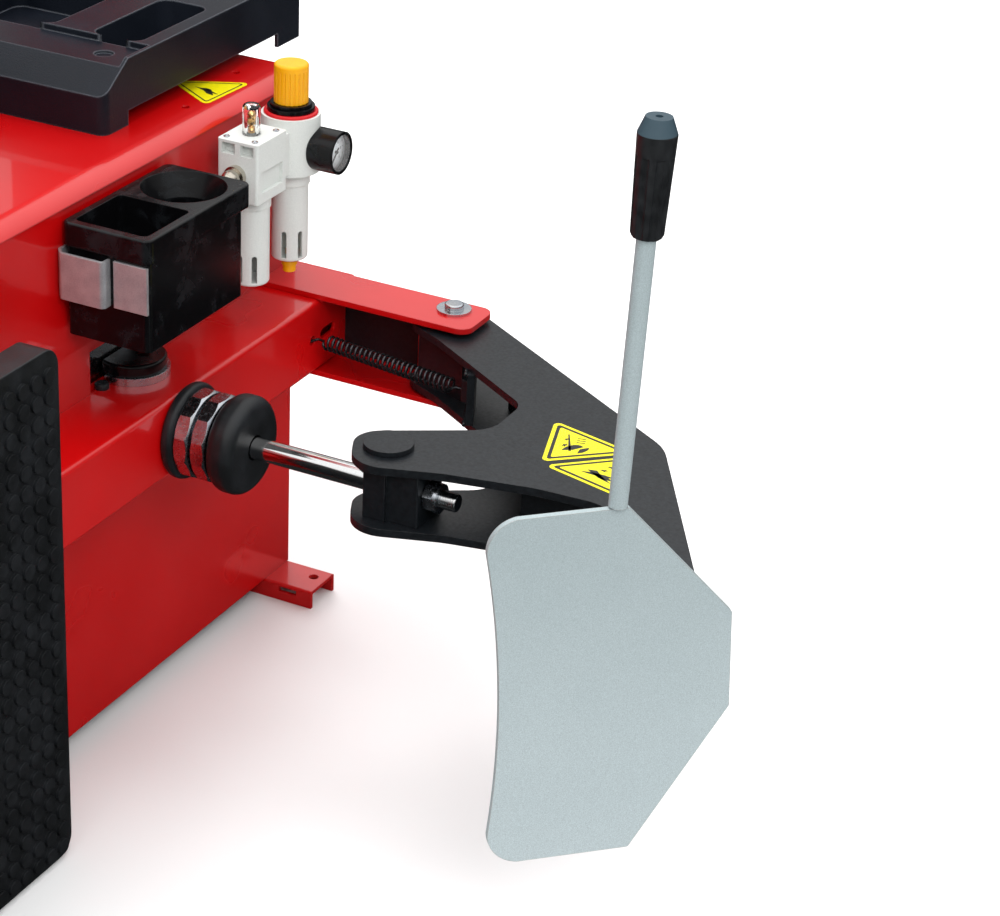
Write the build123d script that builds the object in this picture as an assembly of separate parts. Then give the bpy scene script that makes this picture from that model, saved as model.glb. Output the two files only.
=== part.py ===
from build123d import *
import math
import os

# Swing-arm tire changer. Millimetres, +Z up, +X to the operator's right, +Y to the back.
# The model is laid out from the back right corner of the lower cabinet (X = 0, Y = 0, floor Z = 0)
# and is moved at the end so that the origin is the middle of its footprint on the floor.

# ---------------------------------------------------------------- driving dimensions
# cabinet
CABINET_WIDTH = 600.0
CABINET_DEPTH = 860.0
SHEET = 3.0
UPPER_STEP = 6.6            # how far the upper right wall stands out past the lower one
CABINET_Z0 = 21.0
TOP_Z = 600.0
LID_DROP = 12.0
LID_ROLL = 28.0             # radius of the folded edge of the top panel
LID_OVERHANG = 1.4
CORNER_R = 7.0
COVER_HEIGHT = 420.0
COVER_X = -490.0
COVER_Z0 = 120.0

# side beam that carries the bead breaker
BEAM_WIDTH = 78.0
BEAM_Z0, BEAM_Z1 = 306.0, 386.0
BEAM_WALL = 4.0
BEAM_EDGE_R = 5.0

# foot rails
FOOT_WIDTH = 51.0
FOOT_HEIGHT = 21.0
FOOT_WALL = 4.0
FOOT_OUT = 59.0
ANCHOR_R = 5.5
ANCHOR_X = 44.0
ANCHOR_Y = 19.0

# bead-breaker bracket and arm
PLATE = 8.0
FLANGE = 6.0
BRACKET_END = 250.0
BRACKET_Y0, BRACKET_Y1 = -78.0, -15.0
BRACKET_WEB_END = 166.0
PIVOT = (214.0, -37.0)
PIVOT_R = 10.0
ARM_Z = 345.0               # middle height of arm, rod and beam
ARM_HALF = 36.0             # from the middle height to the outside of each arm plate
ROD_PIN = (297.0, -327.0)
ROD_Y = -333.0
ROD_R = 11.0
BLOCK_X0, BLOCK_X1 = -11.0, 45.0      # from the pin along the rod
BLOCK_HALF_Y = 25.0
BLOCK_LIP = 3.0             # how far the block's inner end stands out
BLOCK_LIP_LENGTH = 23.0
BLOCK_SLOT = 6.0            # half travel of the rod inside the elongated hole
NUT_PLAY = 1.0              # the rod's travel is not quite proportional to the arm's angle
THREAD_R = 8.5
THREAD_END = 78.0           # from the pin
SPRING_R = 8.85
SPRING_HOLE_Y = -89.0
SPRING_ENDS = ((82.0, -84.0), (264.0, -112.4))
SLOT_Y = -58.0
TRUNNION_R = 12.0
RUN = 0.05                  # radial clearance of a running fit
GAP = 0.3                   # clearance between parts that move past each other

# blade and handle
BLADE_CENTRE = (624.0, -541.0, 338.0)
BLADE_TURN = 40.0           # heading of the blade's width from +X
BLADE_ROLL = 2.5
BLADE_THICK = 6.0
BLADE_HALF_HEIGHT = 166.0
BLADE_PIN_ALONG = 28.0
BLADE_PIN_BEHIND = 56.0
TIP_R = 42.0
HANDLE_R = 8.0
HANDLE_ALONG = 4.9          # foot of the handle from the blade's middle
HANDLE_LEAN = -4.4
HANDLE_LENGTH = 333.0
GRIP_LENGTH = 97.5
GRIP_CONE = 13.5
GRIP_COLLAR = 17.0
GRIP_R0, GRIP_R1, GRIP_CAP_R = 13.5, 16.0, 10.8
FLUTES = 8
FLUTE_R = 4.5
FLUTE_AXIS = 17.1
FLUTE_LEAN = 1.8

# bead-breaker cylinder
BARREL_R = 95.0
BARREL_LENGTH = 230.0
BARREL_END_X = -6.0
NOSE_R = 30.0
RING_R = 48.0
RING_THICK = 12.0
NUT_SIDES = 12
NUT_AF = 86.0
NUT_THICK = 16.0
NUT_GAP = 3.0
BUFFER_R = 49.0
BUFFER_X0, BUFFER_X1 = 126.0, 156.0

# wheel pad
PAD_Y0, PAD_Y1 = -815.6, -566.0
PAD_PITCH = 19.6
PAD_COLUMNS = 12
PAD_ROWS = 26
PAD_Z0, PAD_Z1 = 3.0, 530.0
PAD_CORNER_R = 20.0
BACKING_X = 84.0
BACKING_Z1 = 511.0
PAD_FACE_X = 97.0
LIP_X0 = 66.0               # rubber lip over the backing plate's top
LIP_Z0 = 514.0
STUD_R = 7.6
STUD_HEIGHT = 3.0

# turntable drive
TABLE = (-320.0, -500.0)
TABLE_R = 200.0
TABLE_Z0, TABLE_Z1 = 660.0, 684.0
SHAFT_R = 25.0
JAW_COUNT = 4
JAW_REST_R = 190.0
GUIDE_WIDTH = 62.0
PULLEY_X = -455.0
GEARBOX_Z = 440.0
MOTOR_Z = 180.0
BIG_PULLEY_R = 75.0
SMALL_PULLEY_R = 30.0
BELT_WIDTH = 18.0
BELT_THICK = 7.0

# column and swing arm
COLUMN = (-320.0, 75.0)
COLUMN_SIDE = 110.0
COLUMN_TOP = 1400.0
STANDOFF = 20.0
ARM_REACH = 385.0
SWING_BOX = 80.0
HEX_AF = 42.0
HEX_Z0, HEX_Z1 = 835.0, 1640.0

# pedals
PEDAL_X = (-470.0, -320.0, -170.0)
PEDAL_AXLE = (-720.0, 100.0)
PEDAL_AXLE_R = 7.0

# air service unit
FRL_X = 50.0
REGULATOR_Y = -91.0
LUBRICATOR_Y = -167.0
FRL_Z0, FRL_Z1 = 516.0, 590.0
REGULATOR_R = 30.0
LUBRICATOR_X0, LUBRICATOR_X1 = 28.0, 74.0
LUBRICATOR_HALF_Y = 28.0
LOCK_Z0, LOCK_Z1 = 593.0, 601.0
KNOB_Z1 = 641.6
KNOB_R = 17.4
SPINDLE_R = 8.0
KNOB_RIBS = 22
BOWL_R = 18.6
BOWL_Z0 = 434.0
SIGHT_SLOT = 5.5
SIGHT_HEIGHT = 29.0
DRAIN_Z0 = 418.0
DRAIN_R = 8.3
DOME_R = 9.0
DOME_Z1 = 621.0
GAUGE_X0, GAUGE_X1 = 75.6, 105.6
GAUGE_Y = -85.0
GAUGE_Z = 555.0
GAUGE_R = 22.0

# tyre-paste box
PASTE_X0, PASTE_X1 = 9.0, 105.0
PASTE_Y0, PASTE_Y1 = -434.0, -256.0
PASTE_Z0, PASTE_Z1 = 468.0, 580.0
RIM_HEIGHT = 23.0
WELL = (57.0, -301.0)
WELL_R = 41.0
WELL_LOW_R = 31.0           # below the rim
STRAP_Z0, STRAP_Z1 = 507.0, 553.0
STRAP_PROUD = 9.0
STRAP_THICK = 3.0
BOSS = (11.0, -323.0)
BOSS_R = 34.0
BOSS_HEIGHT = 12.0
WASHER_R = 37.0
CUT_OUT_Y = (-388.0, -284.0)
CUT_OUT_HEIGHT = 44.0
WASHER_THICK = 8.0

# tool tray
TRAY_X1 = -47.0
TRAY_Y0, TRAY_Y1 = -277.0, 90.0
TRAY_Z1 = 668.0
TRAY_FRONT_Z = 639.0
TRAY_SLOPE = 42.0
PLATEAU_Z = 661.0
TRAY_FLOOR_Z = 628.0
TRAY_WALL = 4.0
POCKET_Y0, POCKET_Y1 = -192.0, -60.0
POCKETS = ((-120.0, -64.0), (-300.0, -165.0))
DIMPLE = (-85.0, -220.0)
DIMPLE_R = 9.5


# ---------------------------------------------------------------- helpers
def block(x0, x1, y0, y1, z0, z1):
    """A box between two corners."""
    size = Box(x1 - x0, y1 - y0, z1 - z0)
    return Pos((x0 + x1) / 2, (y0 + y1) / 2, (z0 + z1) / 2) * size


def rod_z(x, y, z0, z1, radius):
    """An upright cylinder."""
    return Pos(x, y, (z0 + z1) / 2) * Cylinder(radius, z1 - z0)


def rod_x(x0, x1, y, z, radius):
    """A cylinder lying along X."""
    return Pos((x0 + x1) / 2, y, z) * Rot(0, 90, 0) * Cylinder(radius, x1 - x0)


def rod_y(x, y0, y1, z, radius):
    """A cylinder lying along Y."""
    return Pos(x, (y0 + y1) / 2, z) * Rot(90, 0, 0) * Cylinder(radius, y1 - y0)


def prism_x(x0, x1, y, z, across_flats, sides, turn=0.0):
    """A prism of many equal sides along X."""
    profile = RegularPolygon(across_flats / 2, sides, major_radius=False)
    return Pos(x0, y, z) * Rot(0, 90, 0) * Rot(0, 0, turn) * extrude(profile, x1 - x0)


def hexagon_z(x, y, z0, z1, across_flats):
    """An upright hexagonal prism."""
    profile = RegularPolygon(across_flats / 2, 6, major_radius=False)
    return Pos(x, y, z0) * extrude(profile, z1 - z0)


def rounded_outline(corners):
    """A closed face from corner points that each carry a rounding radius."""
    points = [corner[0] for corner in corners]
    radii = [corner[1] for corner in corners]
    return make_face(FilletPolyline(*points, radius=radii, close=True))


def soften(solid, radius, picker):
    """Round the edges that the picker chooses."""
    return fillet(picker(solid.edges()), radius)


# ---------------------------------------------------------------- cabinet and frame
def cabinet_shell():
    """Welded body: straight lower box, upper right wall stepped out on top of the side beam."""
    z1 = TOP_Z - LID_DROP
    lower = block(-CABINET_WIDTH, 0, -CABINET_DEPTH, 0, CABINET_Z0, z1)
    lower_hollow = block(-CABINET_WIDTH + SHEET, -SHEET, -CABINET_DEPTH + SHEET, -SHEET, 0, TOP_Z)
    upper = block(-2 * CORNER_R, UPPER_STEP, -CABINET_DEPTH, 0, BEAM_Z1, z1)
    upper = soften(upper, CORNER_R - 1, lambda e: e.filter_by(Axis.Z).group_by(Axis.X)[-1])
    step_z = BEAM_Z1 + SHEET
    upper_hollow = block(-3 * CORNER_R, UPPER_STEP - SHEET, -CABINET_DEPTH + SHEET, -SHEET, step_z, TOP_Z)
    shell = (lower + upper) - lower_hollow - upper_hollow
    shell -= block(COVER_X - 60, COVER_X + 60, -SHEET * 2, SHEET, COVER_Z0, COVER_Z0 + COVER_HEIGHT)
    for x in PEDAL_X:
        shell -= block(x - 25, x + 25, -CABINET_DEPTH - SHEET, -CABINET_DEPTH + 2 * SHEET, 30, 125)
    shell -= block(0, 3 * UPPER_STEP, *CUT_OUT_Y, BEAM_Z1, BEAM_Z1 + CUT_OUT_HEIGHT)
    shell -= rod_x(-2 * SHEET, SHEET, ROD_Y, ARM_Z, NOSE_R + 1)
    return shell


def cabinet_top_panel():
    """Folded lid with both side edges rolled down."""
    right = UPPER_STEP + LID_OVERHANG
    left = -CABINET_WIDTH - LID_OVERHANG
    z_low = TOP_Z - LID_DROP
    run = math.sqrt(LID_ROLL ** 2 - (LID_ROLL - LID_DROP) ** 2)
    outer = Polyline((right - run, TOP_Z), (left + run, TOP_Z))
    outer += RadiusArc((left + run, TOP_Z), (left, z_low), -LID_ROLL)
    outer += Line((left, z_low), (left + SHEET, z_low))
    inner_z = TOP_Z - SHEET
    outer += Polyline((left + SHEET, z_low), (left + run, inner_z), (right - run, inner_z))
    outer += Polyline((right - run, inner_z), (right - SHEET, z_low), (right, z_low))
    outer += RadiusArc((right, z_low), (right - run, TOP_Z), -LID_ROLL)
    depth = CABINET_DEPTH + 2 * LID_OVERHANG + SHEET
    profile = Plane.XZ * make_face(outer)
    lid = Pos(0, LID_OVERHANG + SHEET, 0) * extrude(profile, depth)
    for y in (LID_OVERHANG, -CABINET_DEPTH - 2 * LID_OVERHANG - 1):
        lid += block(left + run, right - run, y, y + SHEET, z_low, TOP_Z - 1)
    lid -= rod_z(TABLE[0], TABLE[1], TOP_Z - 20, TOP_Z + 20, 60)
    for x, y in ((-42, -46), (-29, -162)):
        lid -= rod_z(x, y, TOP_Z - 20, TOP_Z + 20, 4)
    return lid


def cabinet_back_cover():
    """Bolt-on cover over the service opening in the back wall."""
    overlap = 15
    low = COVER_Z0 - overlap
    high = COVER_Z0 + COVER_HEIGHT + overlap
    plate = block(COVER_X - 75, COVER_X + 75, 0, 2, low, high)
    plate = soften(plate, 8, lambda e: e.filter_by(Axis.Y))
    louvres, pitch = 6, 40
    first = (low + high) / 2 - pitch * (louvres - 1) / 2
    for row in range(louvres):
        louvre = Pos(COVER_X, 2, first + pitch * row) * Rot(0, 90, 0) * Cylinder(5, 90)
        plate += louvre & block(COVER_X - 50, COVER_X + 50, 1, 12, low, high)
    return plate


def side_beam():
    """Closed rectangular tube along the right side that carries cylinder, pad and arm bracket."""
    outer = block(0, BEAM_WIDTH, -CABINET_DEPTH, 0, BEAM_Z0, BEAM_Z1)
    outer = soften(outer, BEAM_EDGE_R, lambda e: e.filter_by(Axis.Y))
    inner = block(BEAM_WALL, BEAM_WIDTH - BEAM_WALL, BEAM_WALL - CABINET_DEPTH, -BEAM_WALL,
                  BEAM_Z0 + BEAM_WALL, BEAM_Z1 - BEAM_WALL)
    beam = outer - inner
    beam -= rod_x(-10, BEAM_WIDTH + 10, ROD_Y, ARM_Z, NOSE_R + 1)
    slot = extrude(SlotOverall(30, 11, rotation=90), 20, both=True)
    beam -= Pos(BEAM_WIDTH, SLOT_Y, ARM_Z) * Rot(0, 90, 0) * slot
    return beam - rod_x(BEAM_WIDTH - 10, BEAM_WIDTH + 10, SPRING_HOLE_Y, ARM_Z - 1, 5)


def foot_rails():
    """Two inverted channels under the cabinet, the front one a mirror of the back one."""
    x0 = -CABINET_WIDTH - FOOT_OUT
    rail = block(x0, FOOT_OUT, -FOOT_WIDTH, 0, 0, FOOT_HEIGHT)
    rail -= block(x0 - 1, FOOT_OUT + 1, -FOOT_WIDTH + FOOT_WALL, -FOOT_WALL, -1, FOOT_HEIGHT - FOOT_WALL)
    rail = soften(rail, 3, lambda e: e.filter_by(Axis.X).group_by(Axis.Z)[-1])
    for x in (ANCHOR_X, -CABINET_WIDTH - ANCHOR_X):
        rail -= rod_z(x, -ANCHOR_Y, FOOT_HEIGHT - 10, FOOT_HEIGHT + 10, ANCHOR_R)
    rail -= block(18, 40, -FOOT_WIDTH - 1, -FOOT_WIDTH + FOOT_WALL + 1, 11, 17)
    front = Pos(0, -CABINET_DEPTH, 0) * mirror(rail, Plane.XZ)
    return Compound(children=[rail.solid(), front.solid()])


def breaker_bracket():
    """Channel bracket welded to the beam's back end; its two flanges hold the pivot pin."""
    corner_r = 14
    top = block(UPPER_STEP, BRACKET_END, BRACKET_Y0, BRACKET_Y1, BEAM_Z1, BEAM_Z1 + FLANGE)
    top = soften(top, corner_r, lambda e: e.filter_by(Axis.Z).group_by(Axis.X)[-1])
    low = block(BEAM_WIDTH - 30, BRACKET_END, BRACKET_Y0, BRACKET_Y1, BEAM_Z0 - FLANGE, BEAM_Z0)
    low = soften(low, corner_r, lambda e: e.filter_by(Axis.Z).group_by(Axis.X)[-1])
    web = block(BEAM_WIDTH, BRACKET_WEB_END, BRACKET_Y1 - FLANGE, BRACKET_Y1, BEAM_Z0, BEAM_Z1)
    return top + low + web - rod_z(PIVOT[0], PIVOT[1], 0, TOP_Z, PIVOT_R + RUN)


def pad_backing_plate():
    """Steel plate on the beam behind the rubber pad, with gussets above and below the beam."""
    inset = 4
    plate = block(BEAM_WIDTH, BACKING_X, PAD_Y0 + inset, PAD_Y1 - inset, PAD_Z0 + inset, BACKING_Z1)
    plate = soften(plate, PAD_CORNER_R - inset, lambda e: e.filter_by(Axis.X))
    for y in (PAD_Y1 - 40, PAD_Y0 + 40):
        plate += block(0, BEAM_WIDTH, y - 3, y + 3, 150, BEAM_Z0)
        plate += block(UPPER_STEP, BEAM_WIDTH, y - 3, y + 3, BEAM_Z1, 470)
    return plate


def pad_outline(x0, x1):
    """The pad's rounded rectangle as a slab between two X places."""
    slab = block(x0, x1, PAD_Y0, PAD_Y1, PAD_Z0, PAD_Z1)
    return soften(slab, PAD_CORNER_R, lambda e: e.filter_by(Axis.X))


def rubber_pad():
    """Rubber sheet with rows of round studs, and a lip over the backing plate's top."""
    pad = soften(pad_outline(BACKING_X, PAD_FACE_X), 1.5, lambda e: e.group_by(Axis.X)[-1])
    pad += pad_outline(LIP_X0, BACKING_X) & block(LIP_X0, BACKING_X, PAD_Y0, PAD_Y1, LIP_Z0, PAD_Z1)
    first_y = (PAD_Y0 + PAD_Y1) / 2 + (PAD_COLUMNS - 1) * PAD_PITCH / 2
    first_z = PAD_Z0 + 13
    studs = []
    for column in range(PAD_COLUMNS):
        for row in range(PAD_ROWS):
            y = first_y - column * PAD_PITCH
            z = first_z + row * PAD_PITCH
            studs.append(rod_x(PAD_FACE_X - 1, PAD_FACE_X + STUD_HEIGHT, y, z, STUD_R))
    return pad + studs


# ---------------------------------------------------------------- tyre-paste box
def paste_box():
    """Moulded box with a round well and a rectangular pocket under one thick rim."""
    body = block(PASTE_X0 + 3, PASTE_X1 - 3, PASTE_Y0 + 3, PASTE_Y1 - 11, PASTE_Z0, PASTE_Z1 - RIM_HEIGHT + 1)
    body = soften(body, 6, lambda e: e.filter_by(Axis.Z))
    rim = block(PASTE_X0, PASTE_X1, PASTE_Y0, PASTE_Y1, PASTE_Z1 - RIM_HEIGHT, PASTE_Z1)
    rim = soften(rim, 9, lambda e: e.filter_by(Axis.Z))
    rim = soften(rim, 2.5, lambda e: e.group_by(Axis.Z)[-1])
    floor = PASTE_Z0 + 5
    box = body + rim - rod_z(WELL[0], WELL[1], floor, PASTE_Z1 + 1, WELL_LOW_R)
    mouth = Pos(WELL[0], WELL[1], PASTE_Z1 - RIM_HEIGHT / 2) * Cone(WELL_LOW_R, WELL_R, RIM_HEIGHT)
    box -= mouth
    pocket = block(PASTE_X0 + 9, PASTE_X1 - 9, PASTE_Y0 + 9, WELL[1] - WELL_R - 8, floor, PASTE_Z1 + 1)
    return box - soften(pocket, 6, lambda e: e.filter_by(Axis.Z))


def paste_box_strap():
    """Zinc strap across the front of the box: a raised loop from the wall and a flush end plate."""
    front = PASTE_Y0 - STRAP_PROUD
    inner = front + STRAP_THICK
    face = PASTE_Y0 + STRAP_THICK
    wall = UPPER_STEP
    inside = UPPER_STEP + STRAP_THICK
    bend, edge = 5, 0.3
    loop = rounded_outline([
        ((wall, face + 27), edge), ((wall, PASTE_Y0 - 1), bend), ((wall + 7, front), bend),
        ((61, front), bend), ((61, face), edge), ((58, face), edge), ((58, inner), 2),
        ((wall + 8.5, inner), 2), ((inside, PASTE_Y0), 2), ((inside, face + 27), edge)])
    strap = Pos(0, 0, STRAP_Z0) * extrude(loop, STRAP_Z1 - STRAP_Z0)
    end = block(66, PASTE_X1 - 3, PASTE_Y0, face, STRAP_Z0, STRAP_Z1)
    return Compound(children=[strap.solid(), end.solid()])


def paste_box_boss():
    """Round disc below the box, standing on the beam through the cut-out in the wall."""
    z0 = BEAM_Z1 + WASHER_THICK
    boss = rod_z(BOSS[0], BOSS[1], z0, z0 + BOSS_HEIGHT, BOSS_R)
    boss = soften(boss, 3, lambda e: e.group_by(Axis.Z)[-1])
    return boss - block(-200, -SHEET, -CABINET_DEPTH, 0, 0, TOP_Z)


def boss_washer():
    """Large zinc disc between the boss and the beam."""
    washer = rod_z(BOSS[0], BOSS[1], BEAM_Z1, BEAM_Z1 + WASHER_THICK, WASHER_R)
    return washer - block(-200, SHEET, -CABINET_DEPTH, 0, 0, TOP_Z)


# ---------------------------------------------------------------- air service unit
def frl_bracket():
    """Angle bracket between the wall and the air service unit."""
    plate = block(UPPER_STEP, UPPER_STEP + 3, -150, -70, 530, 575)
    return plate + block(UPPER_STEP, FRL_X - 14, -137, -124, 545, 549)


def frl_body():
    """Joined die-cast blocks of the round filter-regulator and the square lubricator."""
    y0 = LUBRICATOR_Y - LUBRICATOR_HALF_Y
    y1 = LUBRICATOR_Y + LUBRICATOR_HALF_Y
    body = block(LUBRICATOR_X0, LUBRICATOR_X1, y0, y1, FRL_Z0 + 12, FRL_Z1)
    body = soften(body, 3, lambda e: e.filter_by(Axis.Z))
    for x in (LUBRICATOR_X0 + 5, LUBRICATOR_X1 - 20):
        body -= block(x, x + 15, y0 - 1, y0 + 8, FRL_Z1 - 14, FRL_Z1 - 3)
    body -= block(LUBRICATOR_X1 - 4, LUBRICATOR_X1 + 1, y0 + 8, y1 - 8, FRL_Z0 + 22, FRL_Z0 + 44)
    body += rod_z(FRL_X, LUBRICATOR_Y, FRL_Z0, FRL_Z0 + 13, 20)
    body += rod_z(FRL_X, REGULATOR_Y, FRL_Z0 + 14, FRL_Z1, REGULATOR_R)
    body += rod_z(FRL_X, REGULATOR_Y, FRL_Z0, FRL_Z0 + 15, 20)
    body += block(FRL_X - 14, FRL_X + 14, LUBRICATOR_Y, REGULATOR_Y, FRL_Z0 + 18, FRL_Z1 - 12)
    body -= rod_z(FRL_X, LUBRICATOR_Y, FRL_Z1 - 10, FRL_Z1 + 5, 6)
    return body - rod_y(FRL_X, REGULATOR_Y + 16, REGULATOR_Y + 40, GAUGE_Z, 6.6)


def sight_slot(y, heading):
    """Round-topped slot through a bowl guard at a compass heading from +X."""
    low = BOWL_Z0 + 4
    high = low + SIGHT_HEIGHT - SIGHT_SLOT / 2
    slot = block(BOWL_R - 5, BOWL_R + 2, -SIGHT_SLOT / 2, SIGHT_SLOT / 2, low, high)
    slot += rod_x(BOWL_R - 5, BOWL_R + 2, 0, high, SIGHT_SLOT / 2)
    return Pos(FRL_X, y, 0) * Rot(0, 0, heading) * slot


def frl_bowls():
    """Two bowl guards with sight slots, hanging below the blocks."""
    bowls = []
    for y, headings in ((REGULATOR_Y, (-78, -24, 102)), (LUBRICATOR_Y, (-95, -48, 85))):
        bowl = rod_z(FRL_X, y, BOWL_Z0, FRL_Z0, BOWL_R)
        bowl = soften(bowl, 3, lambda e: e.group_by(Axis.Z)[0])
        bowl -= rod_z(FRL_X, y, BOWL_Z0 + 3, FRL_Z0 + 1, BOWL_R - 3)
        for heading in headings:
            bowl -= sight_slot(y, heading)
        bowls.append(bowl.solid())
    drain = rod_z(FRL_X, REGULATOR_Y, BOWL_Z0 - 10, BOWL_Z0 + 10, 4 + RUN)
    bowls[0] = (bowls[0] - drain).solid()
    return Compound(children=bowls)


def lubricator_dome():
    """Clear sight dome on the lubricator."""
    foot_z = FRL_Z1 - 1
    dome = rod_z(FRL_X, LUBRICATOR_Y, foot_z + 1, DOME_Z1, DOME_R)
    dome = soften(dome, 4, lambda e: e.group_by(Axis.Z)[-1])
    dome += rod_z(FRL_X, LUBRICATOR_Y, FRL_Z1 - 10, foot_z + 2, 6)
    return dome - rod_z(FRL_X, LUBRICATOR_Y, FRL_Z1 - 11, DOME_Z1 - 5, 5)


def regulator_lock_ring():
    """Black two-step lock ring under the regulator knob."""
    step = LOCK_Z0 + 4.5
    ring = rod_z(FRL_X, REGULATOR_Y, FRL_Z1, LOCK_Z0 + 1, 23)
    ring += rod_z(FRL_X, REGULATOR_Y, LOCK_Z0, step, 24)
    ring += rod_z(FRL_X, REGULATOR_Y, step - 1, step + 1.5, 20)
    ring += rod_z(FRL_X, REGULATOR_Y, step + 1, LOCK_Z1, 21)
    return ring - rod_z(FRL_X, REGULATOR_Y, FRL_Z1 - 1, LOCK_Z1 + 1, SPINDLE_R)


def regulator_knob():
    """Ribbed turning knob with its spindle."""
    z0 = LOCK_Z1 + GAP
    knob = rod_z(FRL_X, REGULATOR_Y, z0, KNOB_Z1, KNOB_R)
    knob = soften(knob, 3, lambda e: e.group_by(Axis.Z)[-1])
    for rib in range(KNOB_RIBS):
        angle = math.radians(360 / KNOB_RIBS * rib)
        x = FRL_X + (KNOB_R + 0.2) * math.cos(angle)
        y = REGULATOR_Y + (KNOB_R + 0.2) * math.sin(angle)
        knob -= rod_z(x, y, z0 - 1, KNOB_Z1 - 7, 0.9)
    return knob + rod_z(FRL_X, REGULATOR_Y, FRL_Z1 + 1, z0 + 1, SPINDLE_R - RUN)


def drain_knob():
    """Two-step drain knob under the filter bowl."""
    knob = rod_z(FRL_X, REGULATOR_Y, DRAIN_Z0, BOWL_Z0 - 7, DRAIN_R - 1.5)
    knob += rod_z(FRL_X, REGULATOR_Y, BOWL_Z0 - 8, BOWL_Z0 - GAP, DRAIN_R)
    knob = soften(knob, 1, lambda e: e.group_by(Axis.Z)[0])
    return knob + rod_z(FRL_X, REGULATOR_Y, BOWL_Z0 - 2, BOWL_Z0 + 8, 4)


def gauge_case():
    """Pressure gauge case with its stem, open to the front where the dial sits."""
    case = rod_x(GAUGE_X0, GAUGE_X1, GAUGE_Y, GAUGE_Z, GAUGE_R)
    case = soften(case, 3, lambda e: e.group_by(Axis.X)[0])
    case -= rod_x(GAUGE_X1 - 8, GAUGE_X1 + 1, GAUGE_Y, GAUGE_Z, GAUGE_R - 3)
    stem_x = FRL_X + math.sqrt(REGULATOR_R ** 2 - (GAUGE_Y - REGULATOR_Y + 7) ** 2)
    if stem_x < GAUGE_X0:
        case += rod_x(stem_x, GAUGE_X0 + 1, GAUGE_Y, GAUGE_Z, 7)
    case -= rod_z(FRL_X, REGULATOR_Y, GAUGE_Z - 40, GAUGE_Z + 40, REGULATOR_R)
    return case - rod_x(GAUGE_X1 - 12, GAUGE_X1 - 7, GAUGE_Y, GAUGE_Z, 1.5 + RUN)


def gauge_needle():
    """Needle on its spindle, pointing down and to the left at no pressure."""
    x = GAUGE_X1 - 6
    needle = rod_x(x - 4, x + 1.5, GAUGE_Y, GAUGE_Z, 1.5)
    bar = block(x, x + 0.8, -0.8, 0.8, -5, GAUGE_R - 6)
    return needle + Pos(0, GAUGE_Y, GAUGE_Z) * Rot(135, 0, 0) * bar


def air_inlet_fitting():
    """Nickel plug with a domed end in the lubricator's front face."""
    y = LUBRICATOR_Y - LUBRICATOR_HALF_Y
    fitting = rod_y(FRL_X, y - 6, y, GAUGE_Z, 11)
    fitting += rod_y(FRL_X, y - 12, y - 5, GAUGE_Z, 9)
    return fitting + Pos(FRL_X, y - 12, GAUGE_Z) * Sphere(9)


# ---------------------------------------------------------------- tool tray
def mirrored(x):
    """The same X place on the other side of the column."""
    return 2 * TABLE[0] - x


def tool_tray():
    """Moulded tray on the cabinet's back: sloped front, plateau, deep wells and raised dividers."""
    x0 = mirrored(TRAY_X1)
    profile = Polyline((TRAY_Y0, TOP_Z), (TRAY_Y0, TRAY_FRONT_Z), (TRAY_Y0 + TRAY_SLOPE, TRAY_Z1),
                       (TRAY_Y1, TRAY_Z1), (TRAY_Y1, TOP_Z), close=True)
    body = Pos(x0, 0, 0) * extrude(Plane.YZ * make_face(profile), TRAY_X1 - x0)
    body = soften(body, 10, lambda e: e.filter_by(Axis.Z).group_by(Axis.Y)[0])
    left, right = x0 + TRAY_WALL, TRAY_X1 - TRAY_WALL
    body -= block(left, right, TRAY_Y0 + TRAY_WALL, TRAY_Y1 + 1, TOP_Z - 1, TRAY_FLOOR_Z - 6)
    body -= block(x0 - 1, TRAY_X1 + 1, -236, 46, TOP_Z - 1, TOP_Z + 15)
    body -= block(left, right, 6, TRAY_Y1 + 1, TOP_Z - 1, TOP_Z + 11)
    body -= block(left, right, TRAY_Y0, POCKET_Y0, PLATEAU_Z, TRAY_Z1 + 1)
    half = 70
    body -= block(COLUMN[0] - half, COLUMN[0] + half, COLUMN[1] - half, TRAY_Y1 + 1, TOP_Z - 1, TRAY_Z1 + 1)
    for side in (lambda x: x, mirrored):
        for low, high in POCKETS:
            low, high = sorted((side(low), side(high)))
            pocket = block(low, high, POCKET_Y0, POCKET_Y1, TRAY_FLOOR_Z, TRAY_Z1 + 1)
            body -= soften(pocket, 14, lambda e: e.filter_by(Axis.Z))
        body -= rod_z(side(DIMPLE[0]), DIMPLE[1], PLATEAU_Z - 3, PLATEAU_Z + 1, DIMPLE_R)
    return body


# ---------------------------------------------------------------- column and swing arm
def column():
    """Square post bolted to the cabinet's back through two stand-off plates."""
    half = COLUMN_SIDE / 2
    x, y = COLUMN
    post = block(x - half, x + half, y - half, y + half, 0, COLUMN_TOP)
    post -= block(x - half + 6, x + half - 6, y - half + 6, y + half - 6, -1, COLUMN_TOP - 10)
    for z in (150, 520):
        post += block(x - 95, x + 95, 0, y - half, z, z + 50)
    post += block(x - 90, x + 90, y - half - 1, y + 90, 0, 10)
    post += rod_z(x, y, COLUMN_TOP, COLUMN_TOP + 100, 28)
    return post


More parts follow.
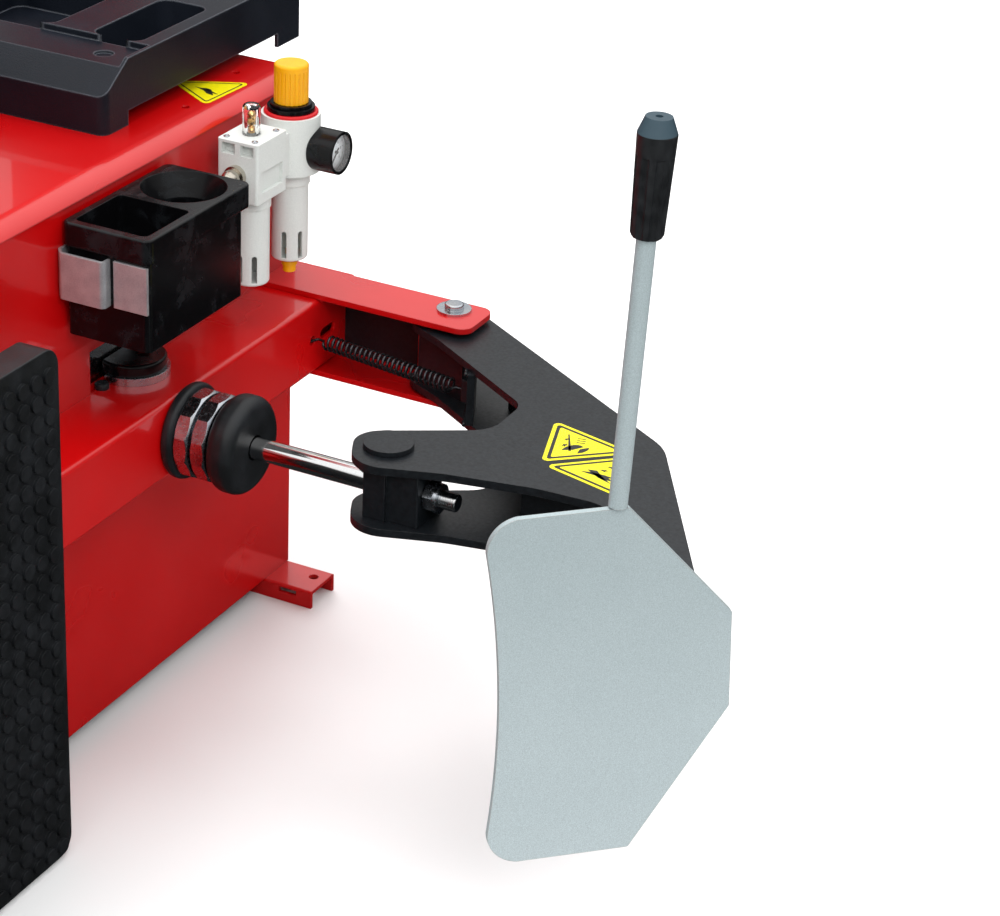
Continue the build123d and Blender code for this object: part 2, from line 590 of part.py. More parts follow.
def frame_fasteners():
    """Column bolts, back-cover screws, bearing bolts and the washer under the paste-box boss."""
    bolts = []
    for z in (175, 545):
        for x in (COLUMN[0] - 78, COLUMN[0] + 78):
            bolts.append(Pos(x, STANDOFF, z) * Rot(-90, 0, 0) * extrude(RegularPolygon(11, 6), 10))
    for x in (COVER_X - 66, COVER_X + 66):
        for z in (COVER_Z0 - 5, COVER_Z0 + COVER_HEIGHT + 5):
            bolts.append(rod_y(x, 2, 5, z, 5))
    for x, y in ((85, 0), (-85, 0), (0, 85), (0, -85)):
        bolts.append(hexagon_z(TABLE[0] + x, TABLE[1] + y, TOP_Z + 12, TOP_Z + 19, 16))
    bolts.append(boss_washer())
    return Compound(children=[bolt.solid() for bolt in bolts])


def swing_arm():
    """Horizontal arm that turns on the column's post and clamps the hexagon shaft."""
    x, y = COLUMN
    z0 = COLUMN_TOP + GAP
    z1 = COLUMN_TOP + SWING_BOX
    hub = rod_z(x, y, z0, z1 + 8, 50)
    beam = block(x - SWING_BOX / 2, x + SWING_BOX / 2, y - ARM_REACH - 10, y, z0, z1)
    beam = soften(beam, 6, lambda e: e.filter_by(Axis.Y))
    head = block(x - 52, x + 52, y - ARM_REACH - 50, y - ARM_REACH + 50, z0, z1 + 12)
    head = soften(head, 10, lambda e: e.filter_by(Axis.Z))
    arm = hub + beam + head
    arm -= rod_z(x, y, z0 - 1, z1 + 20, 28 + RUN)
    arm -= hexagon_z(x, y - ARM_REACH, z0 - 20, z1 + 20, HEX_AF + 2 * GAP)
    arm += block(x - 80, x - 52, y - ARM_REACH - 14, y - ARM_REACH + 14, z0 + 20, z0 + 60)
    return arm - rod_x(x - 90, x - 40, y - ARM_REACH, z0 + 40, 6 + RUN)


def lock_handle():
    """Lever that clamps the hexagon shaft in the arm's head."""
    x = COLUMN[0] - 80
    y = COLUMN[1] - ARM_REACH
    z = COLUMN_TOP + GAP + 40
    lever = rod_x(x - 22, x + 26, y, z, 6)
    lever += rod_x(x - 26, x - GAP, y, z, 12)
    lever += Pos(x - 16, y - 60, z) * Rot(90, 0, 0) * Cylinder(6, 110)
    lever += Pos(x - 16, y - 118, z) * Sphere(14)
    return lever


def hex_shaft():
    """Upright hexagon shaft with a cap that keeps it in the arm."""
    x = COLUMN[0]
    y = COLUMN[1] - ARM_REACH
    shaft = hexagon_z(x, y, HEX_Z0, HEX_Z1, HEX_AF)
    shaft += rod_z(x, y, HEX_Z1, HEX_Z1 + 12, 30)
    return shaft


def mount_head():
    """Duckbill mount head clamped on the shaft's lower end."""
    x = COLUMN[0]
    y = COLUMN[1] - ARM_REACH
    hub = rod_z(x, y, HEX_Z0 - 18, HEX_Z0 + 40, 34)
    hub -= hexagon_z(x, y, HEX_Z0, HEX_Z0 + 41, HEX_AF)
    wing = rounded_outline([((x - 78, y - 18), 12), ((x - 20, y - 40), 16), ((x + 52, y - 34), 12),
                            ((x + 70, y + 6), 10), ((x + 20, y + 34), 14), ((x - 60, y + 26), 12)])
    bill = Pos(0, 0, HEX_Z0 - 36) * extrude(wing, 18)
    bill = soften(bill, 5, lambda e: e.group_by(Axis.Z)[0])
    return hub + bill


# ---------------------------------------------------------------- turntable and drive
def bearing_housing():
    """Flanged bearing housing on the top panel."""
    x, y = TABLE
    housing = rod_z(x, y, TOP_Z, TOP_Z + 12, 105) + rod_z(x, y, TOP_Z - 40, TABLE_Z0 - 2, 58)
    return housing - rod_z(x, y, 0, TABLE_Z1, SHAFT_R + RUN)


def turntable():
    """Round table with radial guides for the jaws and a shaft down into the gearbox."""
    x, y = TABLE
    table = rod_z(x, y, TABLE_Z0, TABLE_Z1, TABLE_R)
    table = soften(table, 3, lambda e: e.filter_by(GeomType.CIRCLE))
    for i in range(JAW_COUNT):
        slot_half = GUIDE_WIDTH / 2 - 14
        slot = block(62, TABLE_R - 22, -slot_half, slot_half, TABLE_Z0 - 1, TABLE_Z1 + 1)
        table -= Pos(x, y, 0) * Rot(0, 0, 45 + 90 * i) * slot
    table += rod_z(x, y, TABLE_Z1 - 1, TABLE_Z1 + 16, 48)
    table += rod_z(x, y, GEARBOX_Z - 40, TABLE_Z0 + 1, SHAFT_R)
    return table


def jaw(index):
    """Clamping jaw: slide in the table's slot and a stepped claw for the rim."""
    inner = JAW_REST_R - 95
    foot_half = GUIDE_WIDTH / 2 - 14 - GAP
    base = block(inner, JAW_REST_R + 20, -GUIDE_WIDTH / 2, GUIDE_WIDTH / 2, TABLE_Z1 + GAP, TABLE_Z1 + 20)
    base = soften(base, 5, lambda e: e.filter_by(Axis.Z))
    foot = block(inner + 10, inner + 50, -foot_half, foot_half, TABLE_Z0 - 6, TABLE_Z1 + 1)
    claw = Polyline((JAW_REST_R - 40, TABLE_Z1 + 19), (JAW_REST_R - 14, TABLE_Z1 + 62),
                    (JAW_REST_R + 14, TABLE_Z1 + 62), (JAW_REST_R + 2, TABLE_Z1 + 44),
                    (JAW_REST_R + 16, TABLE_Z1 + 19), close=True)
    tooth = Pos(0, 22, 0) * extrude(Plane.XZ * make_face(claw), 44)
    piece = base + foot + tooth
    return Pos(TABLE[0], TABLE[1], 0) * Rot(0, 0, 45 + 90 * index) * piece


def gearbox():
    """Worm gearbox hung under the bearing housing."""
    x, y = TABLE
    box = block(x - 72, x + 72, y - 78, y + 78, GEARBOX_Z - 60, GEARBOX_Z + 60)
    box = soften(box, 12, lambda e: e.filter_by(Axis.Z))
    box += rod_z(x, y, GEARBOX_Z + 59, TOP_Z - 40, 45)
    box -= rod_z(x, y, GEARBOX_Z - 45, TOP_Z, SHAFT_R + GAP)
    box -= rod_x(x - 80, x - 50, y, GEARBOX_Z, 10 + RUN)
    return box


def gearbox_pulley():
    """Large belt pulley on the worm shaft."""
    y = TABLE[1]
    pulley = rod_x(PULLEY_X - BELT_WIDTH / 2 - 3, PULLEY_X + BELT_WIDTH / 2 + 3, y, GEARBOX_Z, BIG_PULLEY_R)
    pulley -= groove(PULLEY_X, y, GEARBOX_Z, BIG_PULLEY_R)
    return pulley + rod_x(PULLEY_X, TABLE[0] - 56, y, GEARBOX_Z, 10)


def motor_pulley():
    """Small belt pulley on the motor shaft."""
    y = TABLE[1]
    pulley = rod_x(PULLEY_X - BELT_WIDTH / 2 - 3, PULLEY_X + BELT_WIDTH / 2 + 3, y, MOTOR_Z, SMALL_PULLEY_R)
    pulley -= groove(PULLEY_X, y, MOTOR_Z, SMALL_PULLEY_R)
    return pulley + rod_x(PULLEY_X, TABLE[0] - 76, y, MOTOR_Z, 8)


def groove(x, y, z, radius):
    """Ring of material removed from a pulley where the belt runs."""
    ring = rod_x(x - BELT_WIDTH / 2, x + BELT_WIDTH / 2, y, z, radius + 5)
    return ring - rod_x(x - BELT_WIDTH, x + BELT_WIDTH, y, z, radius - BELT_THICK)


def belt_face(extra):
    """Outline round both pulleys at a distance outside the groove floor."""
    big = BIG_PULLEY_R - BELT_THICK + extra
    small = SMALL_PULLEY_R - BELT_THICK + extra
    spread = GEARBOX_Z - MOTOR_Z
    lean = math.asin((big - small) / spread)
    cosine = math.cos(lean)
    sine = math.sin(lean)
    hull = Polyline((big * cosine, spread - big * sine), (small * cosine, -small * sine),
                    (-small * cosine, -small * sine), (-big * cosine, spread - big * sine), close=True)
    return make_face(hull) + Pos(0, spread) * Circle(big) + Circle(small)


def drive_belt():
    """Belt round both pulleys."""
    loop = belt_face(GAP + BELT_THICK) - belt_face(GAP)
    ring = extrude(Plane.YZ * loop, BELT_WIDTH / 2 - GAP, both=True)
    return Pos(PULLEY_X, TABLE[1], MOTOR_Z) * ring


def motor():
    """Electric motor with cooling fins, terminal box and fan cover."""
    x0 = TABLE[0] - 76
    y = TABLE[1]
    body = rod_x(x0, x0 + 150, y, MOTOR_Z, 66)
    for i in range(12):
        angle = math.radians(30 * i)
        fin = block(x0 + 12, x0 + 118, -1.5, 1.5, 60, 72)
        body += Pos(0, y, MOTOR_Z) * Rot(math.degrees(angle), 0, 0) * fin
    body += block(x0 + 40, x0 + 110, y - 110, y - 60, MOTOR_Z - 30, MOTOR_Z + 30)
    return body - rod_x(x0 - 1, x0 + 30, y, MOTOR_Z, 8 + RUN)


def motor_bracket():
    """Plate that hangs the motor from the gearbox."""
    x0 = TABLE[0] - 76
    y = TABLE[1]
    plate = block(x0 - 6, x0, y - 70, y + 70, MOTOR_Z - 50, GEARBOX_Z + 50)
    plate += block(x0, TABLE[0] + 60, y - 60, y + 60, GEARBOX_Z - 66, GEARBOX_Z - 60)
    plate -= rod_x(x0 - 10, x0 + 10, y, MOTOR_Z, 20)
    plate -= rod_x(x0 - 10, x0 + 5, y, GEARBOX_Z, 20)
    return plate - rod_z(TABLE[0], y, GEARBOX_Z - 80, GEARBOX_Z - 50, 20)


# ---------------------------------------------------------------- pedals
def pedal_frame():
    """Plate under the front of the cabinet with ears that hold the pedal axle."""
    y, z = PEDAL_AXLE
    frame = block(-560, -80, -CABINET_DEPTH + SHEET, y + 30, z + 34, z + 40)
    for x in (-555, -395, -245, -85):
        frame += block(x - 3, x + 3, y - 25, y + 25, z - 16, z + 35)
    frame += rod_x(-565, -75, y, z, PEDAL_AXLE_R)
    return frame


def pedal(x):
    """Foot pedal: hub on the axle, arm through the front slot, treaded foot plate."""
    y, z = PEDAL_AXLE
    hub = rod_x(x - 18, x + 18, y, z, 15)
    arm = block(x - 8, x + 8, -CABINET_DEPTH - 95, y, z - 12, z + 6)
    plate = block(x - 42, x + 42, -CABINET_DEPTH - 140, -CABINET_DEPTH - 60, z + 5, z + 12)
    plate = soften(plate, 12, lambda e: e.filter_by(Axis.Z))
    piece = hub + arm + plate
    for i in range(5):
        rib_y = -CABINET_DEPTH - 128 + 14 * i
        piece += block(x - 34, x + 34, rib_y - 2, rib_y + 2, z + 11, z + 14)
    return piece - rod_x(x - 30, x + 30, y, z, PEDAL_AXLE_R + RUN)


# ---------------------------------------------------------------- bead-breaker cylinder
def bead_cylinder_barrel():
    """Cylinder inside the cabinet; its threaded nose passes through wall and beam."""
    x1 = BARREL_END_X
    x0 = x1 - BARREL_LENGTH
    barrel = rod_x(x0, x1, ROD_Y, ARM_Z, BARREL_R)
    barrel -= rod_x(x0 + 15, x1 - 20, ROD_Y, ARM_Z, BARREL_R - 4)
    barrel += rod_x(x1 - 1, BUFFER_X0, ROD_Y, ARM_Z, NOSE_R)
    return barrel - rod_x(x1 - 30, BUFFER_X0 + 1, ROD_Y, ARM_Z, ROD_R + RUN)


def cylinder_flange_ring():
    """Rounded rubber ring between the beam and the first nut."""
    x1 = BEAM_WIDTH + RING_THICK
    ring = rod_x(BEAM_WIDTH, x1, ROD_Y, ARM_Z, RING_R)
    ring = soften(ring, 5, lambda e: e.filter_by(GeomType.CIRCLE))
    return ring - rod_x(BEAM_WIDTH - 1, x1 + 1, ROD_Y, ARM_Z, NOSE_R)


def cylinder_nuts():
    """Two large thin chamfered nuts on the cylinder's nose."""
    nuts = []
    x = BEAM_WIDTH + RING_THICK
    corner_r = NUT_AF / 2 / math.cos(math.pi / NUT_SIDES)
    for _ in range(2):
        nut = prism_x(x, x + NUT_THICK, ROD_Y, ARM_Z, NUT_AF, NUT_SIDES, 180 / NUT_SIDES)
        turned = rod_x(x, x + NUT_THICK, ROD_Y, ARM_Z, corner_r)
        nut &= chamfer(turned.edges().filter_by(GeomType.CIRCLE), 2.5)
        nut -= rod_x(x - 1, x + NUT_THICK + 1, ROD_Y, ARM_Z, NOSE_R)
        nuts.append(nut.solid())
        x += NUT_THICK + NUT_GAP
    return Compound(children=nuts)


def cylinder_buffer():
    """Rubber buffer disc that stops the rod's block."""
    disc = rod_x(BUFFER_X0, BUFFER_X1, ROD_Y, ARM_Z, BUFFER_R)
    disc = soften(disc, 12, lambda e: e.filter_by(GeomType.CIRCLE))
    return disc - rod_x(BUFFER_X0 - 1, BUFFER_X1 + 1, ROD_Y, ARM_Z, ROD_R + 1.5)


def piston_rod():
    """Chrome rod with its piston and its thinner threaded outer end."""
    x_piston = BARREL_END_X - 50
    x_end = ROD_PIN[0] + THREAD_END
    thread = rod_x(x_piston, x_end, ROD_Y, ARM_Z, THREAD_R)
    thread = soften(thread, 1.5, lambda e: e.filter_by(GeomType.CIRCLE).group_by(Axis.X)[-1])
    rod = thread + rod_x(x_piston, ROD_PIN[0] + 30, ROD_Y, ARM_Z, ROD_R)
    return rod + rod_x(x_piston, x_piston + 25, ROD_Y, ARM_Z, BARREL_R - 4 - RUN)


def rod_nut():
    """Hexagon nut and flat ring on the rod's end beyond the block."""
    x = ROD_PIN[0] + BLOCK_X1 + NUT_PLAY
    nut = prism_x(x, x + 10, ROD_Y, ARM_Z, 24, 6, 12)
    nut += rod_x(x + 9, x + 11, ROD_Y, ARM_Z, 11)
    nut += rod_x(x + 10.5, x + 14.5, ROD_Y, ARM_Z, 14.5)
    return nut - rod_x(x - 1, x + 40, ROD_Y, ARM_Z, THREAD_R)


def rod_block():
    """Trunnion block with an elongated hole, because the pin swings past the rod's line."""
    x, y = ROD_PIN
    x0, x1 = x + BLOCK_X0, x + BLOCK_X1
    half = ARM_HALF - PLATE - GAP
    piece = block(x0, x1, y - BLOCK_HALF_Y, y + BLOCK_HALF_Y, ARM_Z - half, ARM_Z + half)
    piece = soften(piece, 1.5, lambda e: e.filter_by(Axis.Z))
    piece += block(x0, x0 + BLOCK_LIP_LENGTH, y - BLOCK_HALF_Y - BLOCK_LIP, y, ARM_Z - half, ARM_Z + half)
    bore = ROD_R + GAP
    for side in (-BLOCK_SLOT, BLOCK_SLOT):
        piece -= rod_x(x0 - 1, x1 + 1, y + side, ARM_Z, bore)
    return piece - block(x0 - 1, x1 + 1, y - BLOCK_SLOT, y + BLOCK_SLOT, ARM_Z - bore, ARM_Z + bore)


def rod_pin():
    """Upper and lower trunnion pins with flat heads outside the arm plates."""
    x, y = ROD_PIN
    half = ARM_HALF - PLATE - GAP
    outer = ARM_HALF + GAP
    pins = []
    for side in (1, -1):
        z0, z1 = sorted((ARM_Z + side * half, ARM_Z + side * (outer + 1)))
        shaft = rod_z(x, y, z0, z1, TRUNNION_R)
        low, high = sorted((ARM_Z + side * outer, ARM_Z + side * (outer + 5)))
        head = rod_z(x, y, low, high, 24)
        pins.append((shaft + head).solid())
    return Compound(children=pins)


# ---------------------------------------------------------------- bead-breaker arm
def blade_frame():
    """Blade axes: along its width, out of its front face, and its swivel pin's place."""
    turn = math.radians(BLADE_TURN)
    along = Vector(math.cos(turn), math.sin(turn), 0)
    front = Vector(math.sin(turn), -math.cos(turn), 0)
    centre = Vector(*BLADE_CENTRE)
    pin = centre + along * BLADE_PIN_ALONG - front * BLADE_PIN_BEHIND
    return along, front, centre, pin


def arm_outline():
    """Plan outline of the arm plates: pivot lobe, outer edge, tip, rod lobe, throat."""
    pin = blade_frame()[3]
    tip_x, tip_y = pin.X, pin.Y
    return rounded_outline([
        ((180, -4), 28), ((226, -4), 14), ((519, -193), 70), ((652, -423), 60),
        ((tip_x + TIP_R, tip_y - 6), 26), ((tip_x + 20, tip_y - TIP_R), 30),
        ((tip_x - 30, tip_y - TIP_R + 4), 28),
        ((tip_x - 50, tip_y + 44), 40), ((548, -326), 50), ((452, -331), 90), ((368, -349), 120),
        ((284, -379), 34), ((254, -314), 28), ((363, -245), 34), ((363, -181), 24),
        ((222, -88), 30), ((174, -64), 24)])


def breaker_arm_plates():
    """The two equal plates of the arm."""
    pin = blade_frame()[3]
    plates = []
    for z0 in (ARM_Z + ARM_HALF - PLATE, ARM_Z - ARM_HALF):
        plate = Pos(0, 0, z0) * extrude(arm_outline(), PLATE)
        plate -= rod_z(PIVOT[0], PIVOT[1], 0, TOP_Z, PIVOT_R + RUN)
        plate -= rod_z(ROD_PIN[0], ROD_PIN[1], 0, TOP_Z, TRUNNION_R + RUN)
        plate -= rod_z(pin.X, pin.Y, 0, TOP_Z, TRUNNION_R + RUN)
        plates.append(plate.solid())
    return Compound(children=plates)


def wall_between(start, end, thickness):
    """Upright strip between the arm plates from one plan point to another."""
    length = math.dist(start, end)
    heading = math.degrees(math.atan2(end[1] - start[1], end[0] - start[0]))
    height = 2 * (ARM_HALF - PLATE)
    strip = Pos(length / 2, 0, ARM_Z) * Box(length, thickness, height)
    return Pos(start[0], start[1], 0) * Rot(0, 0, heading) * strip


def breaker_arm_webs():
    """Welded webs between the plates, the pivot tube, and the tab for the return spring."""
    cross = wall_between((283, -131), (262, -84), 8)
    tab = wall_between((265, -112.6), (275, -114), 5) & block(0, 400, -400, 0, ARM_Z - 12, ARM_Z + 12)
    inner = wall_between((188, -56), (252, -82), 8)
    outer = wall_between((300, -70), (500, -196), 8)
    front = wall_between((424, -296), (520, -304), 8) + wall_between((517, -301), (588, -420), 8)
    tube = rod_z(PIVOT[0], PIVOT[1], ARM_Z - ARM_HALF + PLATE, ARM_Z + ARM_HALF - PLATE, 20)
    tube -= rod_z(PIVOT[0], PIVOT[1], 0, TOP_Z, PIVOT_R + RUN)
    parts = [(cross + tab).solid(), inner.solid(), outer.solid(), front.solid(), tube.solid()]
    return Compound(children=parts)


def breaker_pivot_pin():
    """Main pivot pin with a washer on the bracket and one below."""
    x, y = PIVOT
    top = BEAM_Z1 + FLANGE
    low = BEAM_Z0 - FLANGE
    pin = rod_z(x, y, low - 8, top + 8, PIVOT_R)
    pin = soften(pin, 2, lambda e: e.group_by(Axis.Z)[-1])
    pin += rod_z(x, y, top, top + 2.5, 18)
    return pin + rod_z(x, y, low - 3, low, 18)


def return_spring():
    """Outer shape of the return spring between the beam's hole and the arm's tab."""
    start = Vector(*SPRING_ENDS[0], ARM_Z)
    end = Vector(*SPRING_ENDS[1], ARM_Z)
    axis = (end - start).normalized()
    hook = 10
    low = (Align.CENTER, Align.CENTER, Align.MIN)
    coil = Cylinder(SPRING_R, (end - start).length - 2 * hook, align=low)
    hooks = Cylinder(2, (end - start).length, align=low)
    return Plane(origin=start + axis * hook, z_dir=axis) * coil + Plane(origin=start, z_dir=axis) * hooks


# ---------------------------------------------------------------- blade and handle
def on_blade(solid):
    """Place a piece drawn in blade axes (X width, Y up, Z out of the front face)."""
    along, front, centre, _ = blade_frame()
    plane = Plane(origin=centre, x_dir=along, z_dir=front)
    return plane * Rot(0, 0, BLADE_ROLL) * solid


def blade():
    """Bead-breaker blade: flat plate with a long hollow leading edge and cut-back corners."""
    half = BLADE_HALF_HEIGHT
    lead, hollow, trail = -104.0, -94.0, 105.0
    corner, shoulder = 30.0, 26.0
    edge = ThreePointArc((lead, corner - half), (hollow, 0), (lead, half - corner))
    edge += RadiusArc((lead, half - corner), (lead + shoulder, half), corner)
    edge += Polyline((lead + shoulder, half), (14, half), (trail, 57), (trail + 1, -35), (20, -half),
                     (lead + shoulder, -half))
    edge += RadiusArc((lead + shoulder, -half), (lead, corner - half), corner)
    plate = extrude(make_face(edge), BLADE_THICK / 2, both=True)
    return on_blade(fillet(plate.edges().filter_by(Axis.Z).sort_by(Axis.X)[-4:], 3))


def blade_carrier():
    """Swivel hub with its pin and the plate that the blade is welded to."""
    along, front, centre, pin = blade_frame()
    half = ARM_HALF - PLATE - GAP
    hub = rod_z(pin.X, pin.Y, ARM_Z - half, ARM_Z + half, 26)
    local = Plane(origin=(pin.X, pin.Y, ARM_Z), x_dir=along, z_dir=(0, 0, 1))
    reach = BLADE_PIN_BEHIND - BLADE_THICK / 2
    rib = local * block(-18, 18, -(reach - 4), 0, -half, half)
    plate = local * block(-70, 62, -reach, -(reach - 8), -half, half)
    hub += rib + plate
    outer = ARM_HALF + GAP
    hub += rod_z(pin.X, pin.Y, ARM_Z - outer - 1, ARM_Z + outer + 1, TRUNNION_R)
    hub += rod_z(pin.X, pin.Y, ARM_Z + outer, ARM_Z + outer + 5, 20)
    return hub + rod_z(pin.X, pin.Y, ARM_Z - outer - 5, ARM_Z - outer, 20)


def on_handle(solid):
    """Place a piece drawn along +Y onto the handle's leaning axis."""
    return on_blade(Pos(HANDLE_ALONG, BLADE_HALF_HEIGHT, 0) * Rot(0, 0, HANDLE_LEAN) * solid)


def handle_tube():
    """Galvanised handle welded on the blade's top edge."""
    return on_handle(upright(1.2, HANDLE_LENGTH - 20, HANDLE_R))


def upright(y0, y1, radius):
    """A cylinder along the local Y axis."""
    return Pos(0, (y0 + y1) / 2, 0) * Rot(90, 0, 0) * Cylinder(radius, y1 - y0)


def handle_grip():
    """Fluted grip, wider towards its plain collar and coned cap."""
    y0 = HANDLE_LENGTH - GRIP_LENGTH
    cone_y = HANDLE_LENGTH - GRIP_CONE
    profile = Polyline((0, y0), (GRIP_R0 - 1.5, y0), (GRIP_R0, y0 + 3), (GRIP_R1, cone_y),
                       (GRIP_CAP_R, HANDLE_LENGTH), (0, HANDLE_LENGTH), close=True)
    grip = revolve(make_face(profile), Axis.Y)
    half = (cone_y - GRIP_COLLAR - y0) / 2 + 1
    for flute in range(FLUTES):
        axis = Pos(FLUTE_AXIS, y0 + half - 2, 0) * Rot(0, 0, -FLUTE_LEAN)
        grip -= Rot(0, 360 / FLUTES * flute, 0) * axis * upright(-half, half, FLUTE_R)
    grip -= upright(y0 - 1, HANDLE_LENGTH - 20, HANDLE_R)
    return on_handle(grip - upright(HANDLE_LENGTH - 6, HANDLE_LENGTH + 1, 3))


# ---------------------------------------------------------------- assembly
def all_nodes():
    """Every piece by name, in the layout frame."""
    simple = (cabinet_shell, cabinet_top_panel, cabinet_back_cover, side_beam, foot_rails, breaker_bracket,
              pad_backing_plate, rubber_pad, paste_box, paste_box_strap, paste_box_boss,
              frl_bracket, frl_body, frl_bowls, lubricator_dome, regulator_lock_ring, regulator_knob,
              drain_knob, gauge_case, gauge_needle, air_inlet_fitting, tool_tray, column, frame_fasteners,
              swing_arm, lock_handle, hex_shaft, mount_head, bearing_housing, turntable, gearbox,
              gearbox_pulley, motor_pulley, drive_belt, motor, motor_bracket, pedal_frame,
              bead_cylinder_barrel, cylinder_flange_ring, cylinder_nuts, cylinder_buffer, piston_rod,
              rod_nut, rod_block, rod_pin, breaker_arm_plates, breaker_arm_webs, breaker_pivot_pin,
              return_spring, blade, blade_carrier, handle_tube, handle_grip)
    nodes = {build.__name__: build() for build in simple}
    for index in range(JAW_COUNT):
        nodes[f"jaw_{index + 1}"] = jaw(index)
    for name, x in zip(("table_pedal", "clamp_pedal", "breaker_pedal"), PEDAL_X):
        nodes[name] = pedal(x)
    return nodes


def floor_centre(nodes):
    """Middle of the whole machine's footprint."""
    box = Compound(children=[Compound(children=piece.solids()) for piece in nodes.values()]).bounding_box()
    return (box.min.X + box.max.X) / 2, (box.min.Y + box.max.Y) / 2


def write_parts():
    """Move every piece to the floor-centre origin and write its STEP file."""
    nodes = all_nodes()
    x, y = floor_centre(nodes)
    print("floor centre", round(x, 3), round(y, 3))
    os.makedirs("parts", exist_ok=True)
    for name, piece in nodes.items():
        solids = [Pos(-x, -y, 0) * solid for solid in piece.solids()]
        moved = solids[0] if len(solids) == 1 else Compound(children=solids)
        export_step(moved, f"parts/{name}.step")


write_parts()
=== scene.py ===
import math

import bpy
from mathutils import Matrix, Vector


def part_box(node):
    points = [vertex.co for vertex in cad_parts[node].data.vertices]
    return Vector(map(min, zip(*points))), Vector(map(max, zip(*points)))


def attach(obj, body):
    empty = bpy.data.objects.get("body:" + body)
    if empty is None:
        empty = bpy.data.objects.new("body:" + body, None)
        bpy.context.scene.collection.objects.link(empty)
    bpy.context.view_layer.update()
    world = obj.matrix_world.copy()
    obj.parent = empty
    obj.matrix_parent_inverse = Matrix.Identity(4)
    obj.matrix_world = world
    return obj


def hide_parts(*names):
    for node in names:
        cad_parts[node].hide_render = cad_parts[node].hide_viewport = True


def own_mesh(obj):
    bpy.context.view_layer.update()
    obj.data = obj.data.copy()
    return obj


# The looks of a swing-arm tire changer, seen from its bead-breaker side.
# Metres, in the row frame. The millimetre layout of the machine starts at the back right corner
# of the lower cabinet, which is where the side beam's lowest X and highest Y are.

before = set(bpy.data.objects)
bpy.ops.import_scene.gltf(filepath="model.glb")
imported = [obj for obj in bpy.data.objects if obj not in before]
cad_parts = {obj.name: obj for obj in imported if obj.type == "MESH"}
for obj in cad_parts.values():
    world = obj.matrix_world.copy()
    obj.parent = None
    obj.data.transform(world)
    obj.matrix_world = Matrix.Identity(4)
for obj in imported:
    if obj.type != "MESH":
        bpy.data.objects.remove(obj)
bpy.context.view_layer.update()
MM = 0.001

BEAM_LOW, BEAM_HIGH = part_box("side_beam")
ORIGIN = Vector((BEAM_LOW.x, BEAM_HIGH.y, 0.0))


def at(x, y, z):
    """A point of the millimetre layout, in the row frame."""
    return ORIGIN + Vector((x, y, z)) * MM


# ---------------------------------------------------------------- node graphs
def rgba(value):
    """Adds full opacity to a plain colour, and leaves sockets and numbers alone."""
    return (*value, 1.0) if isinstance(value, tuple) and len(value) == 3 else value


